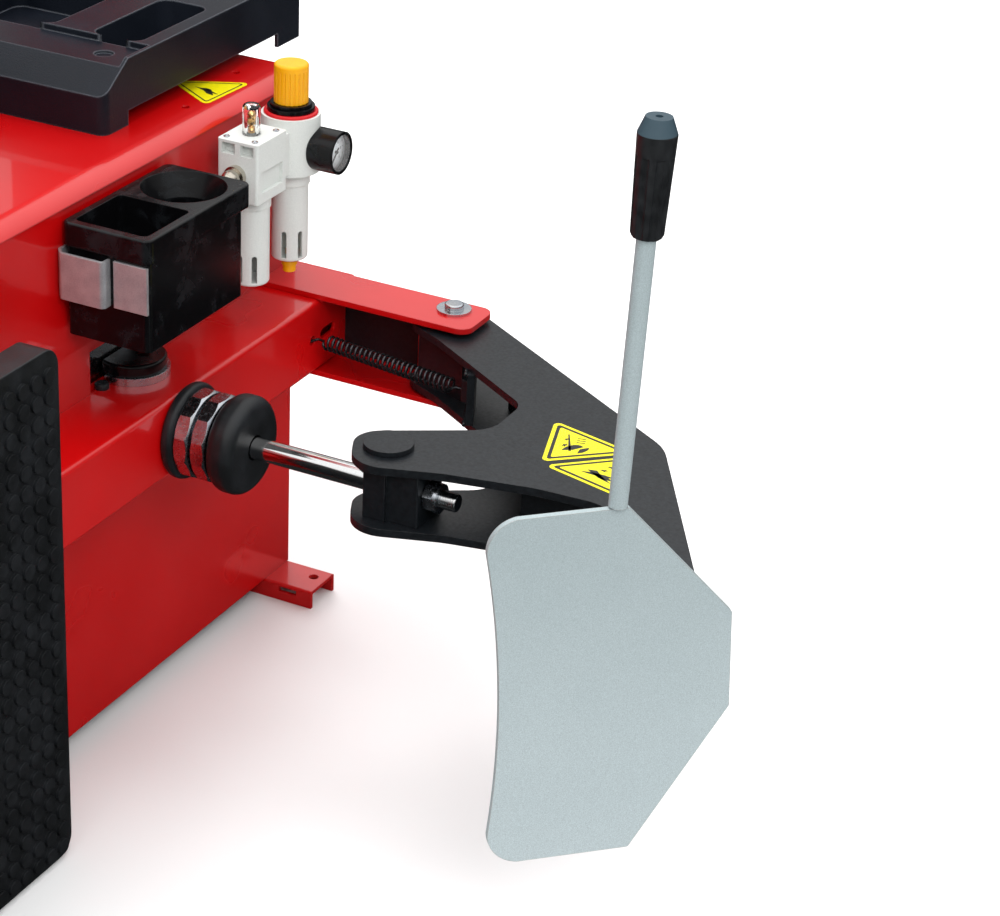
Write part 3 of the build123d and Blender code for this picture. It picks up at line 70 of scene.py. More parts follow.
class Graph:
    """A material's node graph, built with short calls. Texture coordinates are metres."""

    BEVEL_SAMPLES = 4
    FLAT_COSINE, EDGE_COSINE = 0.995, 0.86

    def __init__(self, name, **settings):
        self.material = bpy.data.materials.new(name)
        self.material.use_nodes = True
        self.tree = self.material.node_tree
        self.shader = self.tree.nodes["Principled BSDF"]
        self.place = self.node("ShaderNodeTexCoord").outputs["Object"]
        self.last_normal = None
        for key, value in settings.items():
            self.feed(key, value)

    def node(self, kind, inputs=None, **settings):
        made = self.tree.nodes.new(kind)
        for key, value in settings.items():
            setattr(made, key, value)
        for key, value in (inputs or {}).items():
            self.join(made.inputs[key], value)
        return made

    def join(self, socket, value):
        if isinstance(value, bpy.types.NodeSocket):
            self.tree.links.new(value, socket)
        else:
            socket.default_value = value

    def feed(self, key, value):
        """Sets or links a socket of the shader, named in lower case."""
        name = key.replace("_", " ").title().replace("Ior", "IOR")
        self.join(self.shader.inputs[name], rgba(value))

    def stretched(self, scale):
        """The texture coordinates, scaled by a different amount along each axis."""
        return self.node("ShaderNodeMapping", {"Vector": self.place, "Scale": scale}).outputs[0]

    def noise(self, scale, detail=2.0, roughness=0.5, place=None, distortion=0.0):
        inputs = {
            "Vector": place or self.place,
            "Scale": scale,
            "Detail": detail,
            "Roughness": roughness,
            "Distortion": distortion,
        }
        return self.node("ShaderNodeTexNoise", inputs).outputs["Fac"]

    def pebbles(self, scale):
        """Distance to the nearest of many scattered points, smoothed where cells meet."""
        inputs = {"Vector": self.place, "Scale": scale}
        made = self.node("ShaderNodeTexVoronoi", inputs, feature="SMOOTH_F1")
        return made.outputs["Distance"]

    def span(self, value, low, high, to_low=0.0, to_high=1.0):
        """Maps low to high onto to_low to to_high, without going past either."""
        inputs = {
            "Value": value,
            "From Min": low,
            "From Max": high,
            "To Min": to_low,
            "To Max": to_high,
        }
        return self.node("ShaderNodeMapRange", inputs).outputs["Result"]

    def times(self, a, b):
        made = self.node("ShaderNodeMath", operation="MULTIPLY")
        self.join(made.inputs[0], a)
        self.join(made.inputs[1], b)
        return made.outputs[0]

    def mix(self, share, a, b):
        """Colour a where share is 0, b where it is 1."""
        factor, colour_a, colour_b, result = 0, 6, 7, 2
        made = self.node("ShaderNodeMix", data_type="RGBA")
        self.join(made.inputs[factor], share)
        self.join(made.inputs[colour_a], rgba(a))
        self.join(made.inputs[colour_b], rgba(b))
        return made.outputs[result]

    def height(self):
        """How far up the object a point is, in metres."""
        return self.node("ShaderNodeSeparateXYZ", {"Vector": self.place}).outputs["Z"]

    def edge_mask(self, radius):
        """1 near sharp edges and corners, 0 elsewhere."""
        flat = self.node("ShaderNodeNewGeometry").outputs["Normal"]
        made = self.node("ShaderNodeVectorMath", operation="DOT_PRODUCT")
        self.join(made.inputs[0], self.rounded_normal(radius))
        self.join(made.inputs[1], flat)
        return self.span(made.outputs["Value"], self.FLAT_COSINE, self.EDGE_COSINE)

    def rounded_normal(self, radius):
        made = self.node("ShaderNodeBevel", {"Radius": radius}, samples=self.BEVEL_SAMPLES)
        return made.outputs["Normal"]

    def soften(self, radius):
        """Makes sharp edges shade as though they were rounded to this radius."""
        self.last_normal = self.rounded_normal(radius)
        self.join(self.shader.inputs["Normal"], self.last_normal)

    def bump(self, value, depth):
        """Raises the surface by up to depth metres where value is 1."""
        inputs = {"Height": value, "Distance": depth, "Strength": 1.0}
        made = self.node("ShaderNodeBump", inputs)
        if self.last_normal is not None:
            self.join(made.inputs["Normal"], self.last_normal)
        self.last_normal = made.outputs["Normal"]
        self.join(self.shader.inputs["Normal"], self.last_normal)


# ---------------------------------------------------------------- materials
def red_paint():
    g = Graph("red_paint", coat_weight=0.7, coat_roughness=0.04)
    g.soften(0.0018)
    cloud = g.noise(5.0, 3.0)
    shade = g.mix(g.span(cloud, 0.3, 0.7), (0.47, 0.0015, 0.002), (0.55, 0.002, 0.003))
    edge = g.edge_mask(0.0014)
    wear = g.times(edge, g.span(g.noise(160.0, 3.0), 0.55, 0.8))
    g.feed("base_color", g.mix(g.times(wear, 0.3), shade, (0.72, 0.10, 0.08)))
    g.feed("roughness", g.span(g.noise(9.0, 2.0), 0.3, 0.7, 0.26, 0.34))
    g.bump(g.noise(500.0, 1.0), 0.000012)
    return g.material


def black_paint():
    g = Graph("black_paint", specular_ior_level=0.5)
    g.soften(0.0010)
    mottle = g.span(g.noise(240.0, 5.0, 0.65), 0.35, 0.7)
    edge = g.edge_mask(0.0010)
    base = g.mix(mottle, (0.0035, 0.0045, 0.006), (0.010, 0.013, 0.016))
    wear = g.times(edge, g.span(g.noise(120.0, 4.0), 0.5, 0.7))
    g.feed("base_color", g.mix(g.times(wear, 0.4), base, (0.10, 0.10, 0.10)))
    g.feed("roughness", g.span(g.noise(300.0, 4.0), 0.3, 0.7, 0.34, 0.46))
    g.bump(g.noise(620.0, 3.0), 0.00006)
    g.bump(g.noise(130.0, 3.0), 0.00007)
    return g.material


def zinc():
    g = Graph("zinc", metallic=1.0)
    g.soften(0.0008)
    cloud = g.span(g.noise(60.0, 4.0), 0.3, 0.7)
    tint = g.mix(cloud, (0.50, 0.55, 0.62), (0.68, 0.69, 0.70))
    g.feed("base_color", tint)
    g.feed("roughness", g.span(g.noise(340.0, 3.0), 0.3, 0.7, 0.17, 0.30))
    g.bump(g.noise(700.0, 3.0), 0.00003)
    return g.material


def galvanised():
    g = Graph("galvanised", metallic=0.3)
    g.soften(0.0008)
    grain = g.noise(1100.0, 3.0, 0.75)
    cloud = g.span(g.noise(6.0, 3.0), 0.3, 0.7)
    base = g.mix(cloud, (0.50, 0.60, 0.62), (0.56, 0.66, 0.68))
    # Painted light: the blade is painted lighter towards its bottom and darker towards its top, as
    # the light falls on it. pale is the painted lit tone, and the darker tone is painted shade.
    low, high = (corner.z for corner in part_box("blade"))
    pale = g.mix(0.5, base, (0.74, 0.83, 0.86))
    painted_shade_tone = g.mix(0.25, base, (0.24, 0.28, 0.29))
    painted_light_ramp = g.mix(g.span(g.height(), low, high), pale, painted_shade_tone)
    pits = g.mix(0.4, painted_light_ramp, (0.16, 0.20, 0.21))
    base = g.mix(g.span(grain, 0.36, 0.64), pits, painted_light_ramp)
    edge = g.edge_mask(0.0012)
    g.feed("base_color", g.mix(g.times(edge, 0.4), base, (0.40, 0.24, 0.16)))
    g.feed("roughness", g.span(grain, 0.3, 0.7, 0.42, 0.58))
    g.bump(grain, 0.00007)
    return g.material


def zinc_sheet():
    """Duller plated sheet, for the paste box's strap."""
    g = Graph("zinc_sheet", metallic=0.7)
    g.soften(0.0012)
    flake = g.span(g.noise(900.0, 3.0, 0.7), 0.35, 0.65)
    cloud = g.span(g.noise(70.0, 3.0), 0.3, 0.7)
    base = g.mix(cloud, (0.40, 0.40, 0.43), (0.56, 0.56, 0.58))
    g.feed("base_color", g.mix(g.times(flake, 0.35), base, (0.85, 0.85, 0.86)))
    g.feed("roughness", g.span(flake, 0.0, 1.0, 0.34, 0.46))
    g.bump(flake, 0.00005)
    return g.material


def chrome():
    g = Graph("chrome", metallic=1.0)
    g.soften(0.0005)
    fine = g.noise(60.0, 4.0, place=g.stretched((40.0, 6.0, 6.0)))
    g.feed("base_color", g.mix(g.span(fine, 0.3, 0.7), (0.70, 0.71, 0.72), (0.80, 0.80, 0.79)))
    g.feed("roughness", g.span(fine, 0.3, 0.7, 0.05, 0.13))
    return g.material


def rubber():
    g = Graph("rubber", specular_ior_level=0.5)
    g.soften(0.0008)
    bloom = g.span(g.noise(34.0, 5.0, 0.6), 0.4, 0.75)
    g.feed("base_color", g.mix(bloom, (0.006, 0.007, 0.008), (0.014, 0.016, 0.019)))
    g.feed("roughness", g.span(bloom, 0.0, 1.0, 0.40, 0.55))
    g.bump(g.noise(520.0, 3.0), 0.00010)
    return g.material


def grip_rubber():
    """Handle grip: black below, slate blue on the coned cap."""
    cap_height, blend = 13.5 * MM, 0.3 * MM
    g = Graph("grip_rubber")
    g.soften(0.0006)
    cap_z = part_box("handle_grip")[1].z - cap_height
    cap = g.span(g.height(), cap_z, cap_z + blend)
    dirt = g.span(g.noise(90.0, 4.0), 0.35, 0.7)
    black = g.mix(dirt, (0.007, 0.008, 0.009), (0.016, 0.018, 0.020))
    g.feed("base_color", g.mix(cap, black, (0.035, 0.062, 0.080)))
    g.feed("roughness", g.span(dirt, 0.0, 1.0, 0.34, 0.48))
    g.bump(g.noise(700.0, 2.0), 0.00004)
    return g.material


def black_plastic():
    g = Graph("black_plastic", specular_ior_level=0.3)
    g.soften(0.0012)
    smudge = g.span(g.noise(30.0, 5.0, 0.62, distortion=0.6), 0.50, 0.72)
    g.feed("base_color", g.mix(smudge, (0.0025, 0.0025, 0.003), (0.011, 0.013, 0.015)))
    g.feed("roughness", g.span(smudge, 0.0, 1.0, 0.20, 0.42))
    g.bump(g.noise(600.0, 2.0), 0.00004)
    return g.material


def tray_plastic():
    g = Graph("tray_plastic", specular_ior_level=0.28)
    g.soften(0.0022)
    pebble = g.pebbles(800.0)
    cloud = g.span(g.noise(11.0, 4.0), 0.35, 0.7)
    base = g.mix(cloud, (0.0055, 0.0075, 0.012), (0.010, 0.013, 0.020))
    # Painted highlight: the tray's edges are painted light grey, as though catching the light along
    # their rounding.
    edge = g.edge_mask(0.0026)
    g.feed("base_color", g.mix(edge, base, (0.11, 0.12, 0.14)))
    g.feed("roughness", g.span(cloud, 0.0, 1.0, 0.40, 0.50))
    g.bump(pebble, 0.00020)
    return g.material


def grey_casting():
    g = Graph("grey_casting")
    g.soften(0.0007)
    speck = g.span(g.noise(1100.0, 3.0), 0.35, 0.65)
    edge = g.edge_mask(0.0007)
    base = g.mix(speck, (0.63, 0.655, 0.63), (0.71, 0.73, 0.705))
    g.feed("base_color", g.mix(g.times(edge, 0.3), base, (0.80, 0.81, 0.79)))
    g.feed("roughness", g.span(speck, 0.0, 1.0, 0.38, 0.48))
    g.bump(speck, 0.00004)
    return g.material


def yellow_plastic():
    g = Graph("yellow_plastic", subsurface_weight=0.06, subsurface_scale=0.002)
    g.soften(0.0007)
    cloud = g.span(g.noise(70.0, 3.0), 0.3, 0.7)
    g.feed("base_color", g.mix(cloud, (0.84, 0.37, 0.002), (0.90, 0.43, 0.004)))
    g.feed("roughness", g.span(g.noise(500.0, 2.0), 0.3, 0.7, 0.30, 0.42))
    g.bump(g.noise(800.0, 2.0), 0.00003)
    return g.material


def clear_plastic():
    g = Graph("clear_plastic", transmission_weight=1.0, roughness=0.03, ior=1.49)
    haze = g.span(g.noise(120.0, 3.0), 0.4, 0.7)
    g.feed("base_color", g.mix(haze, (0.97, 0.98, 0.97), (0.93, 0.95, 0.93)))
    g.bump(g.noise(90.0, 2.0), 0.0002)
    return g.material


def nickel():
    g = Graph("nickel", metallic=1.0)
    g.soften(0.0005)
    turning = g.noise(40.0, 3.0, place=g.stretched((2.0, 60.0, 2.0)))
    g.feed("base_color", g.mix(g.span(turning, 0.3, 0.7), (0.55, 0.50, 0.42), (0.70, 0.66, 0.58)))
    g.feed("roughness", g.span(turning, 0.3, 0.7, 0.16, 0.30))
    return g.material


def needle_black():
    g = Graph("needle_black")
    fleck = g.span(g.noise(900.0, 2.0), 0.4, 0.7)
    g.feed("base_color", g.mix(fleck, (0.008, 0.008, 0.008), (0.016, 0.016, 0.016)))
    g.feed("roughness", g.span(fleck, 0.0, 1.0, 0.4, 0.55))
    return g.material


def cast_grey():
    g = Graph("cast_grey", metallic=0.85)
    g.soften(0.0012)
    sand = g.noise(700.0, 4.0, 0.65)
    cloud = g.span(g.noise(22.0, 4.0), 0.35, 0.7)
    base = g.mix(cloud, (0.30, 0.31, 0.33), (0.42, 0.43, 0.44))
    edge = g.edge_mask(0.0016)
    g.feed("base_color", g.mix(g.times(edge, 0.6), base, (0.66, 0.66, 0.66)))
    g.feed("roughness", g.span(cloud, 0.0, 1.0, 0.36, 0.52))
    g.bump(sand, 0.00015)
    return g.material


def motor_blue():
    g = Graph("motor_blue")
    g.soften(0.0012)
    cloud = g.span(g.noise(30.0, 4.0), 0.35, 0.7)
    g.feed("base_color", g.mix(cloud, (0.020, 0.055, 0.130), (0.030, 0.075, 0.165)))
    g.feed("roughness", g.span(cloud, 0.0, 1.0, 0.36, 0.48))
    g.bump(g.noise(300.0, 2.0), 0.00008)
    return g.material


def belt_rubber():
    g = Graph("belt_rubber", specular_ior_level=0.3)
    weave = g.noise(500.0, 3.0)
    g.feed("base_color", g.mix(g.span(weave, 0.3, 0.7), (0.012, 0.012, 0.012), (0.03, 0.03, 0.03)))
    g.feed("roughness", g.span(weave, 0.3, 0.7, 0.55, 0.75))
    g.bump(weave, 0.0002)
    return g.material


def plain(name, dark, light, rough, scale=300.0, **settings):
    """A simple finish: fine mottling between two shades, and slight unevenness."""
    g = Graph(name, **settings)
    fleck = g.span(g.noise(scale, 3.0), 0.35, 0.65)
    g.feed("base_color", g.mix(fleck, dark, light))
    g.feed("roughness", g.span(fleck, 0.0, 1.0, rough, rough + 0.12))
    g.bump(fleck, 0.00003)
    return g.material


MAKERS = (red_paint, black_paint, zinc, galvanised, chrome, rubber, black_plastic, tray_plastic,
          grey_casting, yellow_plastic, clear_plastic, nickel, needle_black, cast_grey, motor_blue,
          belt_rubber)
SLOT_MATERIALS = {maker.__name__: maker() for maker in MAKERS}

for cad_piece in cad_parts.values():
    for slot in cad_piece.material_slots:
        slot.material = SLOT_MATERIALS[slot.material.name.split(".")[0]]
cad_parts["handle_grip"].material_slots[0].material = grip_rubber()
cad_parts["paste_box_strap"].material_slots[0].material = zinc_sheet()

DECAL_YELLOW = plain("decal_yellow", (0.74, 0.66, 0.001), (0.82, 0.74, 0.002), 0.30)
DECAL_BLACK = plain("decal_black", (0.010, 0.010, 0.010), (0.018, 0.018, 0.018), 0.34)
DIAL_WHITE = plain("dial_white", (0.86, 0.90, 0.93), (0.90, 0.94, 0.96), 0.45)
RING_RED = plain("ring_red", (0.50, 0.006, 0.010), (0.58, 0.010, 0.014), 0.30)
BRASS = plain("brass", (0.62, 0.34, 0.12), (0.76, 0.46, 0.20), 0.22, metallic=1.0)
SPRING_STEEL = plain("spring_steel", (0.05, 0.05, 0.055), (0.10, 0.10, 0.11), 0.14, metallic=0.9)
LENS = plain("lens", (0.9, 0.9, 0.9), (0.95, 0.95, 0.95), 0.03, alpha=0.10)
WELD_PAINT = plain("weld_paint", (0.006, 0.007, 0.008), (0.016, 0.018, 0.020), 0.12, scale=500.0)


# ---------------------------------------------------------------- mesh helpers
def piece(name, verts, faces, material, body, smooth=True):
    """A new mesh piece in the row frame that moves with a CAD body."""
    mesh = bpy.data.meshes.new(name)
    mesh.from_pydata([tuple(v) for v in verts], [], faces)
    mesh.materials.append(material)
    for face in mesh.polygons:
        face.use_smooth = smooth
    made = bpy.data.objects.new(name, mesh)
    bpy.context.scene.collection.objects.link(made)
    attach(made, body)
    return made


def spoke(side, over, turns):
    """The direction that many turns round from side towards over."""
    angle = 2 * math.pi * turns
    return side * math.cos(angle) + over * math.sin(angle)


def skin(rings, sides):
    """Faces that join rings of vertices, each ring to the next."""
    faces = []
    for i in range(rings - 1):
        for k in range(sides):
            n = (k + 1) % sides
            faces.append((i * sides + k, i * sides + n, (i + 1) * sides + n, (i + 1) * sides + k))
    return faces


def swept(path, radius, sides=8):
    """Vertices and faces of a round wire along points; radius is a number or one for each point."""
    radii = radius if isinstance(radius, list) else [radius] * len(path)
    verts = []
    side = (path[1] - path[0]).normalized().orthogonal().normalized()
    for i, point in enumerate(path):
        heading = (path[min(i + 1, len(path) - 1)] - path[max(i - 1, 0)]).normalized()
        side = (side - heading * side.dot(heading)).normalized()
        over = heading.cross(side)
        verts += [point + spoke(side, over, k / sides) * radii[i] for k in range(sides)]
    start_cap = tuple(reversed(range(sides)))
    end_cap = tuple(range(len(verts) - sides, len(verts)))
    return verts, skin(len(path), sides) + [start_cap, end_cap]


def turned(centre, axis, profile, sides=48):
    """A lathe shape: profile is (distance along the axis, radius) pairs in millimetres."""
    axis = Vector(axis).normalized()
    side = axis.orthogonal().normalized()
    over = axis.cross(side)
    verts = [centre + (axis * along + spoke(side, over, k / sides) * radius) * MM
             for along, radius in profile for k in range(sides)]
    return verts, skin(len(profile), sides)


def rounded(points, radius, steps=6):
    """A plan outline in millimetres with its corners rounded."""
    outline = []
    count = len(points)
    for i, corner in enumerate(points):
        here = Vector(corner)
        before = (Vector(points[i - 1]) - here).normalized()
        after = (Vector(points[(i + 1) % count]) - here).normalized()
        half = before.angle(after) / 2
        cut = radius / math.tan(half)
        start, end = here + before * cut, here + after * cut
        centre = here + (before + after).normalized() * (radius / math.sin(half))
        for step in range(steps + 1):
            middle = start.lerp(end, step / steps) - centre
            outline.append(centre + middle.normalized() * radius)
    return outline


def sticker(name, outline, z, material, body):
    """A flat piece of foil on an upward face."""
    verts = [at(p.x, p.y, z) for p in outline]
    piece(name, verts, [tuple(range(len(verts)))], material, body, smooth=False)


def band(name, outer, inner, z, material, body):
    """A flat closed stripe between two outlines with the same number of points."""
    count = len(outer)
    verts = [at(p.x, p.y, z) for p in outer + inner]
    faces = [(i, (i + 1) % count, count + (i + 1) % count, count + i) for i in range(count)]
    piece(name, verts, faces, material, body, smooth=False)


# ---------------------------------------------------------------- warning foils
def shrunk(corners, share):
    """The same outline, drawn in towards its middle."""
    centre = sum((Vector(c) for c in corners), Vector((0.0, 0.0))) / len(corners)
    return [centre.lerp(Vector(c), share) for c in corners]


def warning_triangle(name, corners, z, body, pictures, wide=False):
    """Generic yellow warning triangle; pictures are outlines in its own 0 to 1 coordinates."""
    foil_z, print_z = z + FOIL_LIFT, z + 2 * FOIL_LIFT
    sticker(name + "_foil", rounded(corners, 5.0), foil_z, DECAL_YELLOW, body)
    outer, inner = WIDE_BORDER if wide else NARROW_BORDER
    band(name + "_border", rounded(shrunk(corners, outer), 2.5),
         rounded(shrunk(corners, inner), 1.5), print_z, DECAL_BLACK, body)
    origin, right, up = (Vector(c) for c in corners)
    for index, shape in enumerate(pictures):
        outline = [origin + (right - origin) * u + (up - origin) * v for u, v in shape]
        sticker(f"{name}_sign_{index}", outline, print_z, DECAL_BLACK, body)


def fan(u, v, size, start, end, steps=10):
    """Part of a disc in a triangle's own coordinates."""
    rim = [math.radians(start + (end - start) * i / steps) for i in range(steps + 1)]
    return [(u, v)] + [(u + size * math.cos(a), v + size * math.sin(a)) for a in rim]


def star(u, v, size):
    """A small spark in a triangle's own coordinates."""
    points, dent = 5, 0.4
    reach = [(size * (1.0 if i % 2 else dent), math.pi * i / points) for i in range(2 * points)]
    return [(u + r * math.cos(a), v + r * math.sin(a)) for r, a in reach]


ARM_TOP_Z = 381.0
PANEL_TOP_Z = 600.0
FOIL_LIFT = 0.12
WIDE_BORDER, NARROW_BORDER = (0.86, 0.74), (0.84, 0.77)
UPPER_FOIL = [(432.1, -279.6), (405.9, -195.6), (500.1, -218.6)]
LOWER_FOIL = [(437.6, -285.1), (523.9, -307.5), (501.8, -224.3)]
PANEL_FOIL = [(-84.0, -104.0), (-16.0, -146.0), (-12.0, -65.0)]
HAND = [(0.24, 0.20), (0.40, 0.24), (0.52, 0.22), (0.60, 0.27), (0.50, 0.30), (0.55, 0.35),
        (0.42, 0.33), (0.30, 0.28)]
FOOT = [(0.22, 0.30), (0.46, 0.22), (0.66, 0.20), (0.44, 0.28), (0.28, 0.36)]
BAR = [(0.20, 0.26), (0.62, 0.20), (0.62, 0.215), (0.20, 0.29)]
RAY = [(0.34, 0.42), (0.355, 0.42), (0.405, 0.32), (0.39, 0.32)]
RAY_STEPS = (0.0, 0.05, 0.10)


def warning_foils():
    wheel = [fan(0.22, 0.30, 0.12, -80, 70), fan(0.22, 0.38, 0.10, 80, 190)]
    rays = [[(u + step, v) for u, v in RAY] for step in RAY_STEPS]
    sparks = [star(0.36, 0.20, 0.045), star(0.50, 0.20, 0.035)]
    warning_triangle("arm_foil_upper", UPPER_FOIL, ARM_TOP_Z, "breaker_arm",
                     wheel + rays + sparks + [BAR], wide=True)
    sparks = [star(0.30, 0.42, 0.045), star(0.24, 0.55, 0.045)]
    warning_triangle("arm_foil_lower", LOWER_FOIL, ARM_TOP_Z, "breaker_arm",
                     [FOOT, HAND] + sparks, wide=True)
    warning_triangle("panel_foil", PANEL_FOIL, PANEL_TOP_Z, "frame",
                     [fan(0.36, 0.28, 0.07, 0, 200), HAND])


# ---------------------------------------------------------------- spring, thread and welds
ROD_Y, ROD_Z = -333.0, 345.0
SPRING_START, SPRING_END = (82.0, -84.0, ROD_Z), (264.0, -112.4, ROD_Z)
COILS = 27
STEPS_PER_COIL = 16
WIRE_R = 1.5
COIL_R = 7.35
HOOK_LENGTH = 12


def return_spring():
    """Coil spring with hooked ends, fixed to the frame in place of the CAD spring."""
    start, end = at(*SPRING_START), at(*SPRING_END)
    axis = (end - start).normalized()
    side = axis.cross(Vector((0.0, 0.0, 1.0)))
    over = axis.cross(side)
    hook = HOOK_LENGTH * MM
    wound = (end - start).length - 2 * hook
    steps = STEPS_PER_COIL * COILS
    coil = [start + axis * (hook + wound * i / steps)
            + spoke(side, over, i / STEPS_PER_COIL) * COIL_R * MM for i in range(steps + 1)]
    head = [at(73.0, -89.0, 341.0), at(77.0, -89.0, 344.0), start, start + axis * 7 * MM]
    tip = end + axis * 4 * MM - Vector((0, 0, 4 * MM))
    tail = [end - axis * 7 * MM, end, end + axis * 3 * MM, tip]
    wire = swept(head + coil + tail, WIRE_R * MM)
    spring = piece("return_spring_coil", *wire, SPRING_STEEL, "frame")
    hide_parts("return_spring")
    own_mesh(spring)


def rod_thread():
    """Thread ridges on the rod's outer end."""
    pitch, radius, first, last = 1.75, 8.35, 357.5, 373.0
    ridge_r, steps = 0.55, 20
    path = []
    for i in range(int((last - first) / pitch * steps) + 1):
        angle = 2 * math.pi * i / steps
        path.append(at(first + pitch * i / steps, ROD_Y + radius * math.cos(angle),
                       ROD_Z + radius * math.sin(angle)))
    helix = swept(path, ridge_r * MM, 6)
    ridge = piece("rod_thread_ridge", *helix, SLOT_MATERIALS["chrome"], "piston")


def weld(name, start, end, body, size=2.4, material=WELD_PAINT):
    """A lumpy weld bead between two points of the layout."""
    step, ripple_size = 2.2, 0.45
    a, b = Vector(start), Vector(end)
    count = max(4, int((b - a).length / step))
    ripples = [math.sin(i * 1.9) + 0.6 * math.sin(i * 4.3 + 1.0) for i in range(count + 1)]
    path = [at(*a.lerp(b, i / count)) for i in range(count + 1)]
    radii = [(size + ripple_size * ripple) * MM for ripple in ripples]
    made = piece(name, *swept(path, radii), material, body)


def weld_beads():
    low, high, arm = 317.5, 372.5, "breaker_arm"
    weld("weld_front_low", (424, -301, low), (514, -308.5, low), arm)
    weld("weld_front_low_2", (514, -308.5, low), (583, -420, low), arm)
    weld("weld_front_high", (424, -301, high), (514, -308.5, high), arm)
    weld("weld_seam", (515, -308, low + 2), (515, -308, high - 2), arm, 2.0)
    weld("weld_outer_low", (302, -75, low), (498, -198, low), arm)
    weld("weld_cross_low", (278, -133, low), (259, -88, low), arm, 2.0)
    weld("weld_cross_high", (278, -133, high), (259, -88, high), arm, 2.0)
    weld("weld_bracket_top", (79.5, -20, 385.0), (79.5, -76, 385.0), "frame", 2.0,
         SLOT_MATERIALS["red_paint"])


# ---------------------------------------------------------------- air unit and small parts
GAUGE_FACE = (97.8, -85.0, 555.0)
DIAL_R = 18.9
PRINT_LIFT = 0.6
DIVISIONS, DIVISIONS_PER_LONG_TICK = 50, 5
DIAL_START, DIAL_SWEEP = 225, 270
LARGEST_NUMBER = 10
LONG_TICK, SHORT_TICK, TICK_OUTER_R = (13.2, 0.22), (14.6, 0.10), 16.4
NUMBER_R, NUMBER_SIZE = 10.2, 4.2
FLANGE_Z = 590.0
REGULATOR = (50.0, -91.0)
LUBRICATOR = (50.0, -167.0)
LUBRICATOR_SCREWS = ((-16, -20), (16, -20), (-16, 20), (16, 20))
BOSS_BOLT = (8.0, -371.0, 386.0)
# Where the black sheet of painted shade lies, over the bracket's web.
WEB_Y = -21.2
WEB_CORNERS = ((78.2, 306.2), (165.8, 306.2), (165.8, 385.8), (78.2, 385.8))
UPWARD = (0, 0, 1)


def dial_direction(share):
    """From the dial's middle to a mark at that share of the scale."""
    angle = math.radians(DIAL_START - DIAL_SWEEP * share)
    return Vector((0.0, math.cos(angle), math.sin(angle)))


def gauge_face():
    """White dial with ticks and plain numbers behind a lens."""
    outward = Vector((1.0, 0.0, 0.0))
    face = at(*GAUGE_FACE)
    printed = face + outward * PRINT_LIFT * MM
    plate = turned(face, outward, [(0.4, 0.0), (0.4, DIAL_R), (-0.4, DIAL_R)])
    dial = piece("gauge_dial", *plate, DIAL_WHITE, "frame")
    verts, faces = [], []
    for i in range(DIVISIONS + 1):
        inner, half = SHORT_TICK if i % DIVISIONS_PER_LONG_TICK else LONG_TICK
        reach = dial_direction(i / DIVISIONS)
        across = outward.cross(reach)
        corners = ((inner, -half), (TICK_OUTER_R, -half), (TICK_OUTER_R, half), (inner, half))
        faces.append(tuple(range(len(verts), len(verts) + len(corners))))
        verts += [printed + (reach * r + across * side) * MM for r, side in corners]
    ticks = piece("gauge_ticks", verts, faces, DECAL_BLACK, "frame", smooth=False)
    for value in range(0, LARGEST_NUMBER + 1, 2):
        number(str(value), printed + dial_direction(value / LARGEST_NUMBER) * NUMBER_R * MM)
    pane = turned(face, outward, [(7.0, 0.0), (7.0, DIAL_R), (6.2, DIAL_R), (6.2, 0.0)])
    lens = piece("gauge_lens", *pane, LENS, "frame")


def number(text, place):
    """A plain number printed on the dial."""
    curve = bpy.data.curves.new("number", "FONT")
    curve.body = text
    curve.size = NUMBER_SIZE * MM
    curve.align_x = "CENTER"
    curve.align_y = "CENTER"
    shown = bpy.data.objects.new("number", curve)
    mesh = bpy.data.meshes.new_from_object(shown)
    turn = Matrix.Rotation(math.radians(90), 4, "Z") @ Matrix.Rotation(math.radians(90), 4, "X")
    verts = [Matrix.Translation(place) @ turn @ v.co for v in mesh.vertices]
    faces = [tuple(face.vertices) for face in mesh.polygons]
    made = piece("gauge_number_" + text, verts, faces, DECAL_BLACK, "frame", smooth=False)


def air_unit_details():
    """Red ring under the knob, brass dropper and collar of the dome, and four screw heads."""
    profile = [(0.0, 22.9), (3.0, 22.9), (3.0, 26.6), (2.1, 27.5), (0.0, 27.5)]
    washer = turned(at(*REGULATOR, FLANGE_Z + 0.05), UPWARD, profile)
    ring = piece("regulator_ring", *washer, RING_RED, "frame")
    profile = [(0.0, 3.4), (6.0, 3.4), (6.0, 2.2), (9.0, 2.2), (9.0, 4.2), (19.0, 4.2), (21.0, 3.0),
               (22.0, 0.0)]
    stem = turned(at(*LUBRICATOR, FLANGE_Z + 2.0), UPWARD, profile, 24)
    dropper = piece("dome_dropper", *stem, BRASS, "frame")
    profile = [(0.0, 9.6), (2.2, 9.6), (2.6, 9.2), (2.6, 9.02)]
    collar = turned(at(*LUBRICATOR, FLANGE_Z), UPWARD, profile)
    base = piece("dome_collar", *collar, LENS, "frame")
    x, y = LUBRICATOR
    profile = [(0.0, 3.2), (0.9, 3.2), (1.3, 2.6), (1.3, 1.4), (0.2, 1.3), (0.2, 0.0)]
    for index, (dx, dy) in enumerate(LUBRICATOR_SCREWS):
        screw = turned(at(x + dx, y + dy, FLANGE_Z), UPWARD, profile, 20)
        head = piece(f"lubricator_screw_{index}", *screw, SLOT_MATERIALS["zinc"], "frame")


